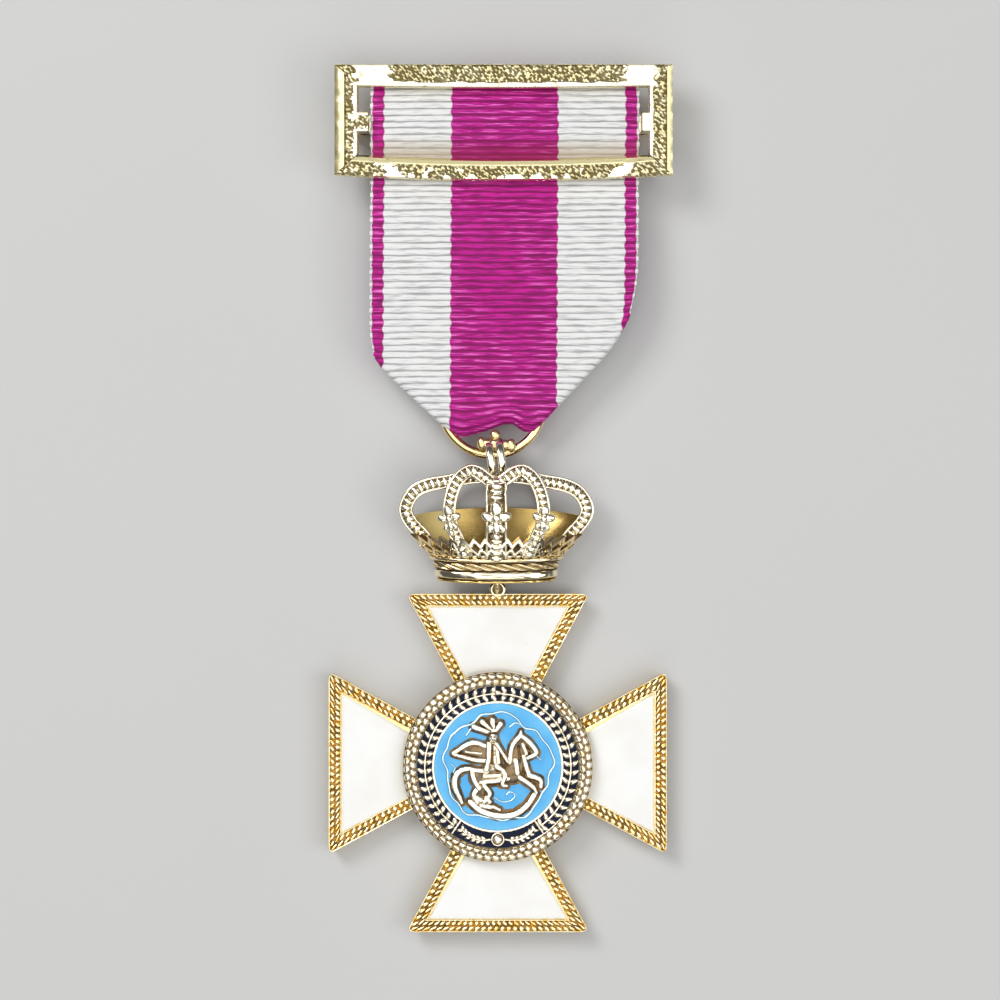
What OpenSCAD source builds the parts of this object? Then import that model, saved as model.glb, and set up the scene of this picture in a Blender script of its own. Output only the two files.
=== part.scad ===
// Order cross on a ribbon with a brooch bar, lying face up.
// X runs to the right, Y from the cross towards the bar, Z up out of the surface that it lies on.

/* [Whole] */
// Length over all, from the foot of the cross to the top of the bar
total_l = 97; // [95:0.5:105]
// How far the bar and the cross lie off the middle line, to opposite sides
lean = 0.25; // [0:0.05:0.4]
// Gap left between two pieces that are laid together
fit_gap = 0.05; // [0.04:0.01:0.1]

/* [Cross] */
// Width and height of the cross
cross_span = 38; // [36:0.5:40]
// Width of an arm at its outer edge
arm_w = 20.6; // [19:0.2:22]
// How much each side of an arm flares for each millimetre outwards
arm_flare = 0.54; // [0.5:0.01:0.58]
// Thickness of the plate under the enamel and the medallion
plate_t = 2.2; // [2:0.1:2.6]
// Height of the border above the plate
border_h = 0.5; // [0.3:0.1:0.6]
// Width of the border round each arm
border_w = 1.45; // [1.2:0.05:1.6]
// Depth of the enamel's bed below the plate's top
bed_depth = 0.5; // [0.3:0.1:0.8]
// Radius of the corners of an arm
arm_corner_r = 0.4; // [0.2:0.1:0.6]

/* [Medallion] */
// Radius of the medallion over its rope ring
medallion_r = 10.7; // [10.5:0.1:11.1]
// Width of the rope ring
rope_w = 1.7; // [1.6:0.05:1.9]
// Radius of the sky disc
sky_r = 7.1; // [6.8:0.1:7.2]
// Width of the thin rim round the sky disc
rim_w = 0.25; // [0.2:0.05:0.4]
// Height of the rope ring above the plate
rope_h = 2.3; // [2:0.1:2.6]
// How far the medallion sits below the middle of the cross
medallion_drop = 0.35; // [0:0.05:0.6]
// Number of leaves round the dark band
leaf_count = 36; // [24:2:44]

/* [Crown] */
// Width of the crown over its outer arches
crown_w = 21.7; // [20:0.1:23]
// Depth of the crown from front to back
crown_d = 8.8; // [8:0.1:9.4]
// Height from the band's lower edge to the highest arch
crown_h = 12.8; // [12.4:0.1:13.2]
// How far the crown leans back on its wider arches, in degrees
crown_tilt = 8; // [7:0.5:9]
// Width of an arch, seen from outside
arch_w = 1.6; // [1.2:0.1:2]
// Thickness of an arch
arch_t = 1.3; // [1:0.1:1.6]
// Thickness of the crown's wall
crown_wall = 0.8; // [0.6:0.1:1]

/* [Rings] */
// Radius of the suspension ring to the middle of its wire
ring_r = 5.7; // [5.6:0.05:5.8]
// Thickness of the suspension ring's wire
ring_wire = 1; // [0.8:0.05:1]
// Thickness of the small link's wire
link_wire = 0.45; // [0.4:0.05:0.5]

/* [Ribbon] */
// Width of the ribbon
ribbon_w = 30; // [29:0.1:30]
// Thickness of one layer of the ribbon
ribbon_t = 1; // [1:0.05:1.1]
// Height of the lowest point of the ribbon's fold above the middle of the length
fold_y = 8; // [7.8:0.1:8.2]
// Height where the left edge turns in towards the ring
left_turn_y = 16; // [14:0.5:20]
// Height where the right edge turns in towards the ring
right_turn_y = 20; // [16:0.5:24]

/* [Bar] */
// Width of the bar
bar_w = 38; // [37:0.5:39]
// Height of the bar at its ends
bar_h = 12.3; // [12:0.1:12.8]
// How far the lower rail bows down in its middle
rail_bow = 0.7; // [0:0.1:0.8]
// Width of the window
window_w = 33; // [32.6:0.1:33.4]
// Height of the window at its ends
window_h = 7.4; // [7.2:0.1:7.8]
// Thickness of the bar
bar_t = 1.4; // [1.2:0.1:1.6]
// Height of the crossbar that the ribbon is looped over
crossbar_h = 2.2; // [1.8:0.1:2.4]
// Thickness of the brooch pin's wire
pin_wire = 0.9; // [0.7:0.05:1]

/* [Hidden] */
$fn = 72;

// Clearance past a face in a cut
past = 1;

// Middle lines, from left to right
bar_x = lean;
cross_x = -lean;
ribbon_x = 0.35;
crown_x = -0.4;
ring_x = -0.9;

// Places along the length
bar_top_y = total_l / 2;
bar_mid_y = bar_top_y - 6.5;
window_top_y = bar_top_y - 2.6;
ribbon_top_y = bar_top_y - 1.2;
cross_y = cross_span / 2 - bar_top_y;
cross_top_y = cross_y + cross_span / 2;
crown_y = cross_top_y + 1;
ring_y = 10.75;

// Levels above the surface
ring_z = 3.6;
layer_gap = ring_wire + 0.3;
ribbon_front_z = ring_z + layer_gap / 2 + ribbon_t;
bar_back_z = ribbon_front_z + 0.15;
bar_face_z = bar_back_z + bar_t;
border_z = plate_t + border_h;
bed_z = plate_t - bed_depth;
medallion_z = plate_t + fit_gap;

// A point on a smooth curve that runs from b to c, with a before and d after them
function blend(a, b, c, d, t) =
    0.5 * (2 * b + (c - a) * t + (2 * a - 5 * b + 4 * c - d) * t * t + (3 * b - 3 * c + d - a) * t * t * t);

// A smooth closed outline through a few points
function closed_curve(p, steps) =
    let (n = len(p))
    [for (i = [0 : n - 1], s = [0 : steps - 1])
        blend(p[(i + n - 1) % n], p[i], p[(i + 1) % n], p[(i + 2) % n], s / steps)];

// The same line moved sideways by t, to the left of its direction
function beside(p, t) =
    let (n = len(p))
    [for (i = [0 : n - 1])
        let (d = p[min(i + 1, n - 1)] - p[max(i - 1, 0)])
        p[i] + t * [-d[1], d[0]] / norm(d)];

function reversed(p) = [for (i = [len(p) - 1 : -1 : 0]) p[i]];

// A plain ring of round wire, lying flat
module wire_ring(r, wire, turn_fn = 72, wire_fn = 24) {
    rotate_extrude($fn = turn_fn) {
        translate([r, 0]) circle(d = wire, $fn = wire_fn);
    }
}

// The cross: a plate with raised borders, a bed for the enamel in each arm, and an eyelet on top
hub_r = 4;
eyelet_wire = 0.5;
eyelet_r = 0.7;
eyelet_up = 0.45;
eyelet_z = border_z - eyelet_wire / 2 - 0.05;

// Half width of an arm at a distance from the middle of the cross
function arm_half(d) = arm_w / 2 - arm_flare * (cross_span / 2 - d);

module place_cross() {
    translate([cross_x, cross_y, 0]) children();
}

// One arm, pointing up, from the middle to its outer edge, drawn in by a margin
module arm_outline(margin, corner) {
    side = margin * sqrt(1 + arm_flare * arm_flare);
    outer = cross_span / 2 - margin;
    inner = hub_r / 2;
    offset(r = corner, $fn = 24) {
        offset(delta = -corner) {
            polygon([
                [-arm_half(inner) + side, inner],
                [arm_half(inner) - side, inner],
                [arm_half(outer) - side, outer],
                [-arm_half(outer) + side, outer]
            ]);
        }
    }
}

module four_arms(margin, corner) {
    for (turn = [0 : 90 : 270]) rotate(turn) arm_outline(margin, corner);
}

// The round seat of the medallion, which ends the borders and the enamel
module medallion_seat(gap) {
    translate([0, -medallion_drop]) circle(r = medallion_r + gap);
}

module cross_blank() {
    linear_extrude(plate_t) {
        four_arms(0, arm_corner_r);
        circle(r = hub_r);
    }
    linear_extrude(border_z) {
        difference() {
            four_arms(0, arm_corner_r);
            medallion_seat(fit_gap);
        }
    }
    translate([0, cross_span / 2 + eyelet_up, eyelet_z]) wire_ring(eyelet_r, eyelet_wire);
}

module cross_body() {
    color("goldenrod") {
        place_cross() {
            difference() {
                cross_blank();
                translate([0, 0, bed_z]) {
                    linear_extrude(border_z) {
                        difference() {
                            four_arms(border_w, arm_corner_r / 2);
                            medallion_seat(fit_gap);
                        }
                    }
                }
            }
        }
    }
}

// The white enamel of one arm, a little lower than the border
enamel_below_border = 0.15;

module arm_enamel(turn) {
    color("white") {
        place_cross() {
            translate([0, 0, bed_z + fit_gap]) {
                linear_extrude(border_z - enamel_below_border - bed_z - fit_gap) {
                    difference() {
                        rotate(turn) arm_outline(border_w + fit_gap, arm_corner_r / 2);
                        medallion_seat(2 * fit_gap);
                    }
                }
            }
        }
    }
}

// The medallion: a disc with a thick round edge and a thin rim round the sky disc
disc_t = 0.9;
enamel_z = disc_t + fit_gap;
enamel_t = 0.6;
relief_z = enamel_z + enamel_t + fit_gap;
rim_h = relief_z + 0.1;
rope_r = medallion_r - rope_w / 2;
rope_mid_z = rope_h - rope_w / 2;
foot_w = rope_w - 0.3;
band_in_r = sky_r + rim_w;
band_out_r = medallion_r - rope_w;

module place_medallion() {
    translate([cross_x, cross_y - medallion_drop, medallion_z]) children();
}

module medallion() {
    color("gold") {
        place_medallion() {
            rotate_extrude() {
                square([band_out_r + foot_w / 2, disc_t]);
                translate([band_out_r, 0]) square([foot_w, rope_mid_z]);
                translate([rope_r, rope_mid_z]) circle(d = rope_w, $fn = 32);
                translate([sky_r, 0]) square([rim_w, rim_h]);
            }
        }
    }
}

module band_enamel() {
    color("midnightblue") {
        place_medallion() {
            translate([0, 0, enamel_z]) {
                linear_extrude(enamel_t) {
                    difference() {
                        circle(r = band_out_r - fit_gap);
                        circle(r = band_in_r + fit_gap);
                    }
                }
            }
        }
    }
}

module sky_enamel() {
    color("deepskyblue") {
        place_medallion() {
            translate([0, 0, enamel_z]) cylinder(r = sky_r - fit_gap, h = enamel_t);
        }
    }
}

// Leaves on a thin stem, all round the dark band
leaf_l = 0.65;
leaf_half_w = 0.32;
leaf_t = 0.35;
stem_half_w = 0.15;
stem_r = (band_in_r + band_out_r) / 2;
leaf_half_turn = leaf_half_w / stem_r * 180 / PI;

// One edge of the leafy ring: a point out to each leaf's tip, and the stem between them
function leafy_edge(side) =
    [for (i = [0 : leaf_count - 1], step = [-1 : 1])
        let (a = i * 360 / leaf_count + step * leaf_half_turn)
        let (r = stem_r + side * (step == 0 ? leaf_l : stem_half_w))
        [r * cos(a), r * sin(a)]];

module band_leaves() {
    color("gold") {
        place_medallion() {
            translate([0, 0, relief_z]) {
                linear_extrude(leaf_t) {
                    difference() {
                        polygon(leafy_edge(1));
                        polygon(leafy_edge(-1));
                    }
                }
            }
        }
    }
}

// The relief: a rider, the rearing horse and the ground below it, each an outline and a height
horse_outline = [
    [2.9, 3.7], [4.4, 1.6], [3.5, 0.9], [3.4, -0.7], [5.1, -1.5], [4.6, -2.4], [2.4, -1.6],
    [0.4, -2.3], [-0.8, -4.6], [-2.3, -4.5], [-2.6, -2.2], [-3.7, -1.3], [-3.9, -4.0], [-5.0, -1.6],
    [-3.4, -0.2], [-1.0, 0.2], [1.2, 0.8]
];
rider_outline = [
    [-0.5, -0.4], [1.0, -0.8], [0.3, 1.0], [0.9, 2.4], [0.5, 3.4], [0.3, 4.8], [-1.2, 5.1],
    [-2.9, 4.9], [-2.2, 3.3], [-5.0, 1.6], [-2.2, 0.8]
];
ground_outline = [
    [-2.8, -4.0], [-1.2, -4.6], [1.4, -4.9], [3.4, -3.6], [3.2, -2.2], [4.2, -2.4], [4.0, -4.0],
    [1.5, -5.7], [-1.4, -5.5]
];
rider_t = 1;
horse_t = 0.85;
ground_t = 0.6;
outline_steps = 4;

module rider_relief() {
    color("gold") {
        place_medallion() {
            translate([0, 0, relief_z]) {
                linear_extrude(rider_t) polygon(closed_curve(rider_outline, outline_steps));
                linear_extrude(horse_t) polygon(closed_curve(horse_outline, outline_steps));
                linear_extrude(ground_t) polygon(closed_curve(ground_outline, outline_steps));
            }
        }
    }
}

// The crown stands on its band here, facing -Y, and is then laid on its back.
// Its outer line runs from the band up over an arch to the middle.
// Columns: share of the half width, share of the height
crown_line = [
    [0.57, 0.00],
    [0.62, 0.20],
    [0.80, 0.39],
    [0.95, 0.54],
    [1.00, 0.68],
    [0.955, 0.82],
    [0.83, 0.94],
    [0.65, 1.00],
    [0.44, 0.99],
    [0.24, 0.97],
    [0.08, 0.96]
];
top_row = len(crown_line) - 1;
wall_row = 4;
leaf_row = 2;

// Columns: angle from the front, height as a share of the highest arch, leaf on its foot
arches = [
    [0, 0.97, true],
    [30, 1.00, true],
    [-30, 1.00, true],
    [90, 0.93, true],
    [-90, 0.93, true],
    [150, 1.00, false],
    [-150, 1.00, false],
    [180, 0.97, false]
];

crown_z = 3.27;
front_wall_h = 5.2;
band_floor_h = 1.9;
band_floor_r = 6.3;
staple_h = 1.1;
crown_leaf_d = 3.2;
crown_leaf_t = 1.1;
hub_d = 3.2;
hub_h = crown_line[top_row][1] * crown_h - arch_t;
hub_t = arch_t + 0.5;
orb_d = 2.6;
orb_h = 12.2;
crown_flat = crown_d / crown_w;

// Rows first to last of the crown's line, in millimetres, with the reach and the rise as shares
function crown_points(first, last, reach, rise) =
    [for (i = [first : last]) [crown_line[i][0] * reach * crown_w / 2, crown_line[i][1] * rise * crown_h]];

// How far the crown's oval plan reaches at an arch, as a share of its half width
function crown_reach(a) = norm([sin(a), crown_flat * cos(a)]);

module place_crown() {
    translate([crown_x, crown_y, crown_z]) rotate([crown_tilt - 90, 0, 0]) children();
}

// The band and the wall above it, low in front and high behind
module crown_shell() {
    line = crown_points(0, wall_row, 1, 1);
    difference() {
        scale([1, crown_flat, 1]) {
            rotate_extrude($fn = 40) polygon(concat(line, reversed(beside(line, crown_wall))));
        }
        translate([-crown_w, -crown_w, front_wall_h]) cube([2 * crown_w, crown_w, crown_h]);
    }
}

// An arch: a strap that follows the crown's line from the band to the hub
module arch(a, rise, leaf) {
    line = beside(crown_points(1, top_row, crown_reach(a), rise), arch_t / 2);
    rotate(atan2(-crown_flat * cos(a), sin(a))) {
        for (i = [0 : len(line) - 2]) {
            hull() {
                for (p = [line[i], line[i + 1]]) {
                    translate([p[0], 0, p[1]]) {
                        rotate([90, 0, 0]) cylinder(d = arch_t, h = arch_w, center = true, $fn = 10);
                    }
                }
            }
        }
        if (leaf) {
            translate([line[leaf_row][0], 0, line[leaf_row][1]]) {
                rotate([0, 90, 0]) cylinder(d = crown_leaf_d, h = crown_leaf_t, $fn = 16);
            }
        }
    }
}

// The loop on top of the crown, which the suspension ring runs through, and the small cross on it
loop_y = 4.75;
loop_z = 3.8;
loop_in_r = 1.15;
loop_out_r = 2;
loop_w = 2.2;
finial_y = 6.3;
finial_h = 1.5;
finial_stem_w = 1.1;
finial_w = 4;
finial_bar_h = 0.8;
finial_t = 1;

module crown_loop() {
    translate([crown_x, loop_y, loop_z]) {
        rotate([0, 90, 0]) {
            rotate_extrude($fn = 40) {
                translate([loop_in_r, -loop_w / 2]) square([loop_out_r - loop_in_r, loop_w]);
            }
        }
    }
    translate([crown_x, finial_y, loop_z]) {
        linear_extrude(finial_t, center = true) {
            translate([-finial_stem_w / 2, 0]) square([finial_stem_w, finial_h]);
            translate([-finial_w / 2, 0]) square([finial_w, finial_bar_h]);
        }
    }
}

module crown() {
    color("gold") {
        place_crown() {
            crown_shell();
            for (row = arches) arch(row[0], row[1], row[2]);
            translate([0, 0, hub_h]) cylinder(d = hub_d, h = hub_t, $fn = 32);
            translate([0, 0, orb_h]) sphere(d = orb_d, $fn = 24);
            translate([0, 0, band_floor_h]) {
                scale([1, crown_flat, 1]) cylinder(r = band_floor_r, h = crown_wall);
            }
            translate([0, 0, staple_h]) rotate([90, 0, 0]) wire_ring(eyelet_r, eyelet_wire, 24, 10);
        }
        crown_loop();
    }
}

module suspension_ring() {
    color("gold") {
        translate([ring_x, ring_y, ring_z]) wire_ring(ring_r, ring_wire);
    }
}

// The link stands on edge, round the lower wire of the crown's staple and the top of the cross's eyelet
staple_wire_y = crown_y + (staple_h - eyelet_r) * cos(crown_tilt);
staple_wire_z = crown_z + (staple_h - eyelet_r) * sin(crown_tilt);
eyelet_wire_y = cross_top_y + eyelet_up + eyelet_r;
link_x = (crown_x + cross_x) / 2;
link_y = (staple_wire_y + eyelet_wire_y) / 2;
link_z = (staple_wire_z + eyelet_z) / 2;
link_r = 1.03;

module link_ring() {
    color("gold") {
        translate([link_x, link_y, link_z]) rotate([0, 90, 0]) wire_ring(link_r, link_wire);
    }
}

// The ribbon: a flat loop over the crossbar and through the ring, its lower corners folded in
fold_left_x = -6;
fold_right_x = 4.1;
ring_room = 0.1;

// The loop from the side, with a round fold at each end
module loop_side(inset) {
    r = layer_gap / 2 + ribbon_t - inset;
    low = fold_y + inset + r;
    high = ribbon_top_y - inset - r;
    translate([low, ring_z]) circle(r = r, $fn = 32);
    translate([low, ring_z - r]) square([high - low, 2 * r]);
    translate([high, ring_z]) circle(r = r, $fn = 32);
}

module ribbon_outline() {
    left = ribbon_x - ribbon_w / 2;
    right = ribbon_x + ribbon_w / 2;
    polygon([
        [fold_left_x, fold_y],
        [fold_right_x, fold_y],
        [right, right_turn_y],
        [right, bar_top_y],
        [left, bar_top_y],
        [left, left_turn_y]
    ]);
}

module ribbon() {
    color("mediumvioletred") {
        difference() {
            intersection() {
                translate([ribbon_x - ribbon_w / 2, 0, 0]) {
                    rotate([90, 0, 90]) {
                        linear_extrude(ribbon_w) {
                            difference() {
                                loop_side(0);
                                loop_side(ribbon_t);
                            }
                        }
                    }
                }
                linear_extrude(bar_face_z) ribbon_outline();
            }
            translate([ring_x, ring_y, ring_z]) wire_ring(ring_r, ring_wire + 2 * ring_room);
        }
    }
}

// The bar: a frame whose crossbar passes behind the ribbon and turns up into the frame at each side
window_bow = 0.9 * rail_bow;
crossbar_z = ring_z - ring_wire / 2;
nub_gap = 0.12;
nub_root = 0.6;

// A rectangle hung from its top edge whose lower edge bows down in an arc
module bowed(w, h, bow) {
    translate([-w / 2, -h]) square([w, h]);
    if (bow > 0) {
        arc_r = (w * w / 4 + bow * bow) / (2 * bow);
        intersection() {
            translate([0, arc_r - h - bow]) circle(r = arc_r, $fn = 720);
            translate([-w / 2, -h - bow]) square([w, bow + past]);
        }
    }
}

// The crossbar's end on one side, beside the ribbon
module nub(side) {
    inner = ribbon_x + side * (ribbon_w / 2 + nub_gap);
    outer = bar_x + side * (window_w / 2 + nub_root);
    translate([min(inner, outer), bar_mid_y - crossbar_h / 2, crossbar_z]) {
        cube([abs(outer - inner), crossbar_h, bar_face_z - crossbar_z]);
    }
}

module bar_frame() {
    color("gold") {
        translate([bar_x, 0, bar_back_z]) {
            linear_extrude(bar_t) {
                difference() {
                    translate([0, bar_top_y]) bowed(bar_w, bar_h, rail_bow);
                    translate([0, window_top_y]) bowed(window_w, window_h, window_bow);
                }
            }
        }
        nub(-1);
        nub(1);
        translate([bar_x - window_w / 2, bar_mid_y - crossbar_h / 2, crossbar_z]) {
            cube([window_w, crossbar_h, ring_wire]);
        }
    }
}

// The brooch pin: its wire between the two blocks that it is held by, behind the crossbar
pin_z = 1;
block_x = window_w / 2 - 0.2;
block_w = 2.2;
block_l = 2.2;

module brooch_pin() {
    color("darkgoldenrod") {
        for (side = [-1, 1]) {
            translate([bar_x + side * block_x - block_w / 2, bar_mid_y - block_l / 2, 0]) {
                cube([block_w, block_l, crossbar_z - fit_gap]);
            }
        }
        translate([bar_x - block_x, bar_mid_y, pin_z]) {
            rotate([0, 90, 0]) cylinder(d = pin_wire, h = 2 * block_x, $fn = 24);
        }
    }
}

bar_frame();
brooch_pin();
ribbon();
suspension_ring();
crown();
link_ring();
cross_body();
arm_enamel(0);  // enamel_top
arm_enamel(-90);  // enamel_right
arm_enamel(180);  // enamel_bottom
arm_enamel(90);  // enamel_left
medallion();
band_enamel();
sky_enamel();
rider_relief();
band_leaves();
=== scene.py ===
"""An order cross on its ribbon and brooch bar, lying face up. All sizes here are in millimetres."""
import math

import bmesh
import bpy
import numpy as np
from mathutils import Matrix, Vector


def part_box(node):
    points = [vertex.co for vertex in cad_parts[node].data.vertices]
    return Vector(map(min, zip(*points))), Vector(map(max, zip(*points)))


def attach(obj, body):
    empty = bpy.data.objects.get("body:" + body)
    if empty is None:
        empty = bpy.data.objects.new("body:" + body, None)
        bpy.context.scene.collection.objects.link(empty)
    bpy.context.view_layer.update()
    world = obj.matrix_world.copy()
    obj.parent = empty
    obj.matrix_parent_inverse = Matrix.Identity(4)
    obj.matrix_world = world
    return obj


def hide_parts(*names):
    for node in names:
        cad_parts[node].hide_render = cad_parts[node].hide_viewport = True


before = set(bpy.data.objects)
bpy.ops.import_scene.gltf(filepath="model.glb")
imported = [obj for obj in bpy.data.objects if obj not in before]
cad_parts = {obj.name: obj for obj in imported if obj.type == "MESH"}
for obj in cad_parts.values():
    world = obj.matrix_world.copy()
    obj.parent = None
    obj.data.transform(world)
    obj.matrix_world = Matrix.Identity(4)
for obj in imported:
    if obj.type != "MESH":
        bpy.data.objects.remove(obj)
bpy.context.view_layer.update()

MM = 0.001


# Places, read from the frame

def node_box(node):
    """The lowest and the highest corner of a node, in millimetres."""
    low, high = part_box(node)
    return np.array(low) / MM, np.array(high) / MM


bar_low, bar_high = node_box("bar_frame")
pin_low, pin_high = node_box("brooch_pin")
ribbon_low, ribbon_high = node_box("ribbon")
ring_low, ring_high = node_box("suspension_ring")
crown_low, crown_high = node_box("crown")
link_low, link_high = node_box("link_ring")
cross_low, cross_high = node_box("cross_body")
medallion_low, medallion_high = node_box("medallion")
sky_low, sky_high = node_box("sky_enamel")
arm_enamel_top = node_box("enamel_top")[1][2]


# Shapes

class Shape:
    """Points with the faces between them. Each point also holds three marks, which the finishes read."""

    def __init__(self, points, faces, marks=None):
        self.points = np.asarray(points, float).reshape(-1, 3)
        self.faces = faces
        self.marks = np.zeros_like(self.points)
        if marks is not None:
            marks = np.asarray(marks, float)
            self.marks[:, : marks.shape[-1]] = marks.reshape(len(self.points), -1)


def joined(*shapes):
    """Several shapes as one."""
    faces = []
    start = 0
    for shape in shapes:
        faces += [[start + i for i in face] for face in shape.faces]
        start += len(shape.points)
    points = np.concatenate([shape.points for shape in shapes])
    return Shape(points, faces, np.concatenate([shape.marks for shape in shapes]))


def moved(shape, change):
    """The same shape with its points put through a function."""
    return Shape(change(shape.points), shape.faces, shape.marks)


def grid(points, rows_meet=False, columns_meet=False, marks=None, capped=False):
    """A surface through rows of points. Rows or columns that meet close into a tube."""
    rows, columns = points.shape[:2]
    row = np.arange(rows if rows_meet else rows - 1)
    column = np.arange(columns if columns_meet else columns - 1)
    row, column = np.meshgrid(row, column, indexing="ij")
    next_row = (row + 1) % rows * columns
    next_column = (column + 1) % columns
    row = row * columns
    corners = [row + column, row + next_column, next_row + next_column, next_row + column]
    faces = np.stack(corners, -1).reshape(-1, 4).tolist()
    if capped:
        faces.append(list(range(columns)))
        faces.append(list(range((rows - 1) * columns, rows * columns)))
    if marks is not None and np.ndim(marks) == 2:
        marks = np.asarray(marks)[..., None]
    return Shape(points, faces, marks)


def unit(vectors):
    """Vectors made one long."""
    return vectors / np.maximum(np.linalg.norm(vectors, axis=-1, keepdims=True), 1e-12)


def ease(low, high, value):
    """A smooth rise from 0 at low to 1 at high."""
    share = np.clip((value - low) / (high - low), 0, 1)
    return share * share * (3 - 2 * share)


def smooth_curve(points, steps):
    """A curve through the points, with some steps between each two."""
    points = np.asarray(points, float)
    pairs = len(points) - 1
    long = np.concatenate([2 * points[:1] - points[1:2], points, 2 * points[-1:] - points[-2:-1]])
    before, start, after, second = (long[i : i + pairs, None] for i in range(4))
    t = (np.arange(steps) / steps)[None, :, None]
    bend = 2 * before - 5 * start + 4 * after - second
    twist = 3 * start - 3 * after + second - before
    curve = 0.5 * (2 * start + (after - before) * t + bend * t**2 + twist * t**3)
    return np.concatenate([curve.reshape(-1, points.shape[1]), points[-1:]])


def evenly(path, pitch):
    """Points along a path, about a pitch apart, and whole in number."""
    reach = np.concatenate([[0], np.cumsum(np.linalg.norm(np.diff(path, axis=0), axis=1))])
    at = np.linspace(0, reach[-1], max(2, round(reach[-1] / pitch)) + 1)
    return np.stack([np.interp(at, reach, path[:, i]) for i in range(path.shape[1])], 1)


def directions(path, side, closed=False):
    """The way ahead, sideways and upwards at each point of a path."""
    if closed:
        ahead = unit(np.roll(path, -1, 0) - np.roll(path, 1, 0))
    else:
        ahead = unit(np.gradient(path, axis=0))
    side = np.broadcast_to(np.asarray(side, float), path.shape)
    side = unit(side - ahead * (ahead * side).sum(1, keepdims=True))
    return ahead, side, np.cross(side, ahead)


def swept(path, section, side, closed=False, marks=None):
    """A section carried along a path. It holds offsets sideways and upwards, for each point or for all."""
    path = np.asarray(path, float)
    ahead, side, up = directions(path, side, closed)
    section = np.asarray(section, float)
    if section.ndim == 2:
        section = np.broadcast_to(section, (len(path),) + section.shape)
    points = path[:, None] + section[..., :1] * side[:, None] + section[..., 1:] * up[:, None]
    return grid(points, closed, True, marks, capped=not closed)


def circle(radius, count, flat=1.0):
    """Points round a circle, or round an oval if flat isn't 1."""
    turn = np.linspace(0, 2 * np.pi, count, endpoint=False)
    return np.stack([radius * np.cos(turn), radius * flat * np.sin(turn)], 1)


def box_section(width, height, corner, steps=3):
    """A rectangle with round corners."""
    turn = np.linspace(0, np.pi / 2, steps + 1)
    points = []
    for i, (x, y) in enumerate(((1, 1), (-1, 1), (-1, -1), (1, -1))):
        middle = np.array([x * (width / 2 - corner), y * (height / 2 - corner)])
        angle = turn + i * np.pi / 2
        points.append(middle + corner * np.stack([np.cos(angle), np.sin(angle)], 1))
    return np.concatenate(points)


def flat_ring(centre, radius, count):
    """A path round a circle that lies flat, and the way outwards at each of its points."""
    outwards = np.zeros((count, 3))
    outwards[:, :2] = circle(1, count)
    return np.asarray(centre, float) + radius * outwards, outwards


def wire_ring(centre, radius, wire, count, sides):
    """A ring of round wire that lies flat. Its wire is given by its radius."""
    path, outwards = flat_ring(centre, radius, count)
    return swept(path, circle(wire, sides), outwards, closed=True)


def turned(profile, centre, count=160):
    """A profile of radius, height and hollowness turned round an upright axis."""
    profile = np.asarray(profile, float)
    turn = circle(1, count)
    points = np.zeros((count, len(profile), 3))
    points[..., :2] = turn[:, None] * profile[None, :, :1]
    points[..., 2] = profile[None, :, 1]
    return grid(points + np.asarray(centre, float), rows_meet=True,
                marks=np.broadcast_to(profile[None, :, 2], (count, len(profile))))


def round_bead():
    """A ball of radius 1 with a flattened top."""
    mesh = bmesh.new()
    bmesh.ops.create_icosphere(mesh, subdivisions=3, radius=1)
    points = np.array([vertex.co for vertex in mesh.verts])
    faces = [[vertex.index for vertex in face.verts] for face in mesh.faces]
    mesh.free()
    away = np.maximum(np.hypot(points[:, :1], points[:, 1:2]), 1e-6)
    points[:, :2] *= away**0.6 / away
    return points, faces


bead_points, bead_faces = round_bead()


def beads(centres, radii, long_way=(1, 0, 0), upwards=(0, 0, 1)):
    """A ball or an egg at each centre. The first radius runs the long way, the last one upwards."""
    centres = np.asarray(centres, float).reshape(-1, 3)
    long_way = unit(np.broadcast_to(np.asarray(long_way, float), centres.shape))
    upwards = unit(np.broadcast_to(np.asarray(upwards, float), centres.shape))
    upwards = unit(upwards - long_way * (long_way * upwards).sum(1, keepdims=True))
    sideways = np.cross(upwards, long_way)
    radii = np.broadcast_to(np.asarray(radii, float), centres.shape)
    shapes = []
    for centre, a, b, c, r in zip(centres, long_way, sideways, upwards, radii):
        points = centre + bead_points @ np.array([a * r[0], b * r[1], c * r[2]])
        # Painted shade: each bead darkens towards its underside
        shapes.append(Shape(points, bead_faces, 0.5 - 0.5 * bead_points[:, 2:]))
    return joined(*shapes)


def marked(shape, hollow, golden):
    """The same shape, at least as hollow and as golden as this."""
    return Shape(shape.points, shape.faces, np.maximum(shape.marks, (hollow, golden, 0)))


def topped_block(low, high, bevel, relief, pitch):
    """An upright block with a bevelled top. A relief, if one is given, adds to the top's height."""
    low, high = np.asarray(low, float), np.asarray(high, float)

    def spread(i):
        inner = np.linspace(low[i] + bevel, high[i] - bevel, max(2, round((high[i] - low[i]) / pitch)))
        return np.concatenate([[low[i], low[i]], inner, [high[i], high[i]]])

    x, y = np.meshgrid(spread(0), spread(1), indexing="ij")
    z = np.full_like(x, high[2])
    if relief is not None:
        z[2:-2, 2:-2] += relief(x, y)[2:-2, 2:-2]
    for edge in (z[1], z[-2], z[:, 1], z[:, -2]):
        edge[:] = high[2] - bevel
    for edge in (z[0], z[-1], z[:, 0], z[:, -1]):
        edge[:] = low[2]
    return grid(np.stack([x, y, z], -1))


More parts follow.
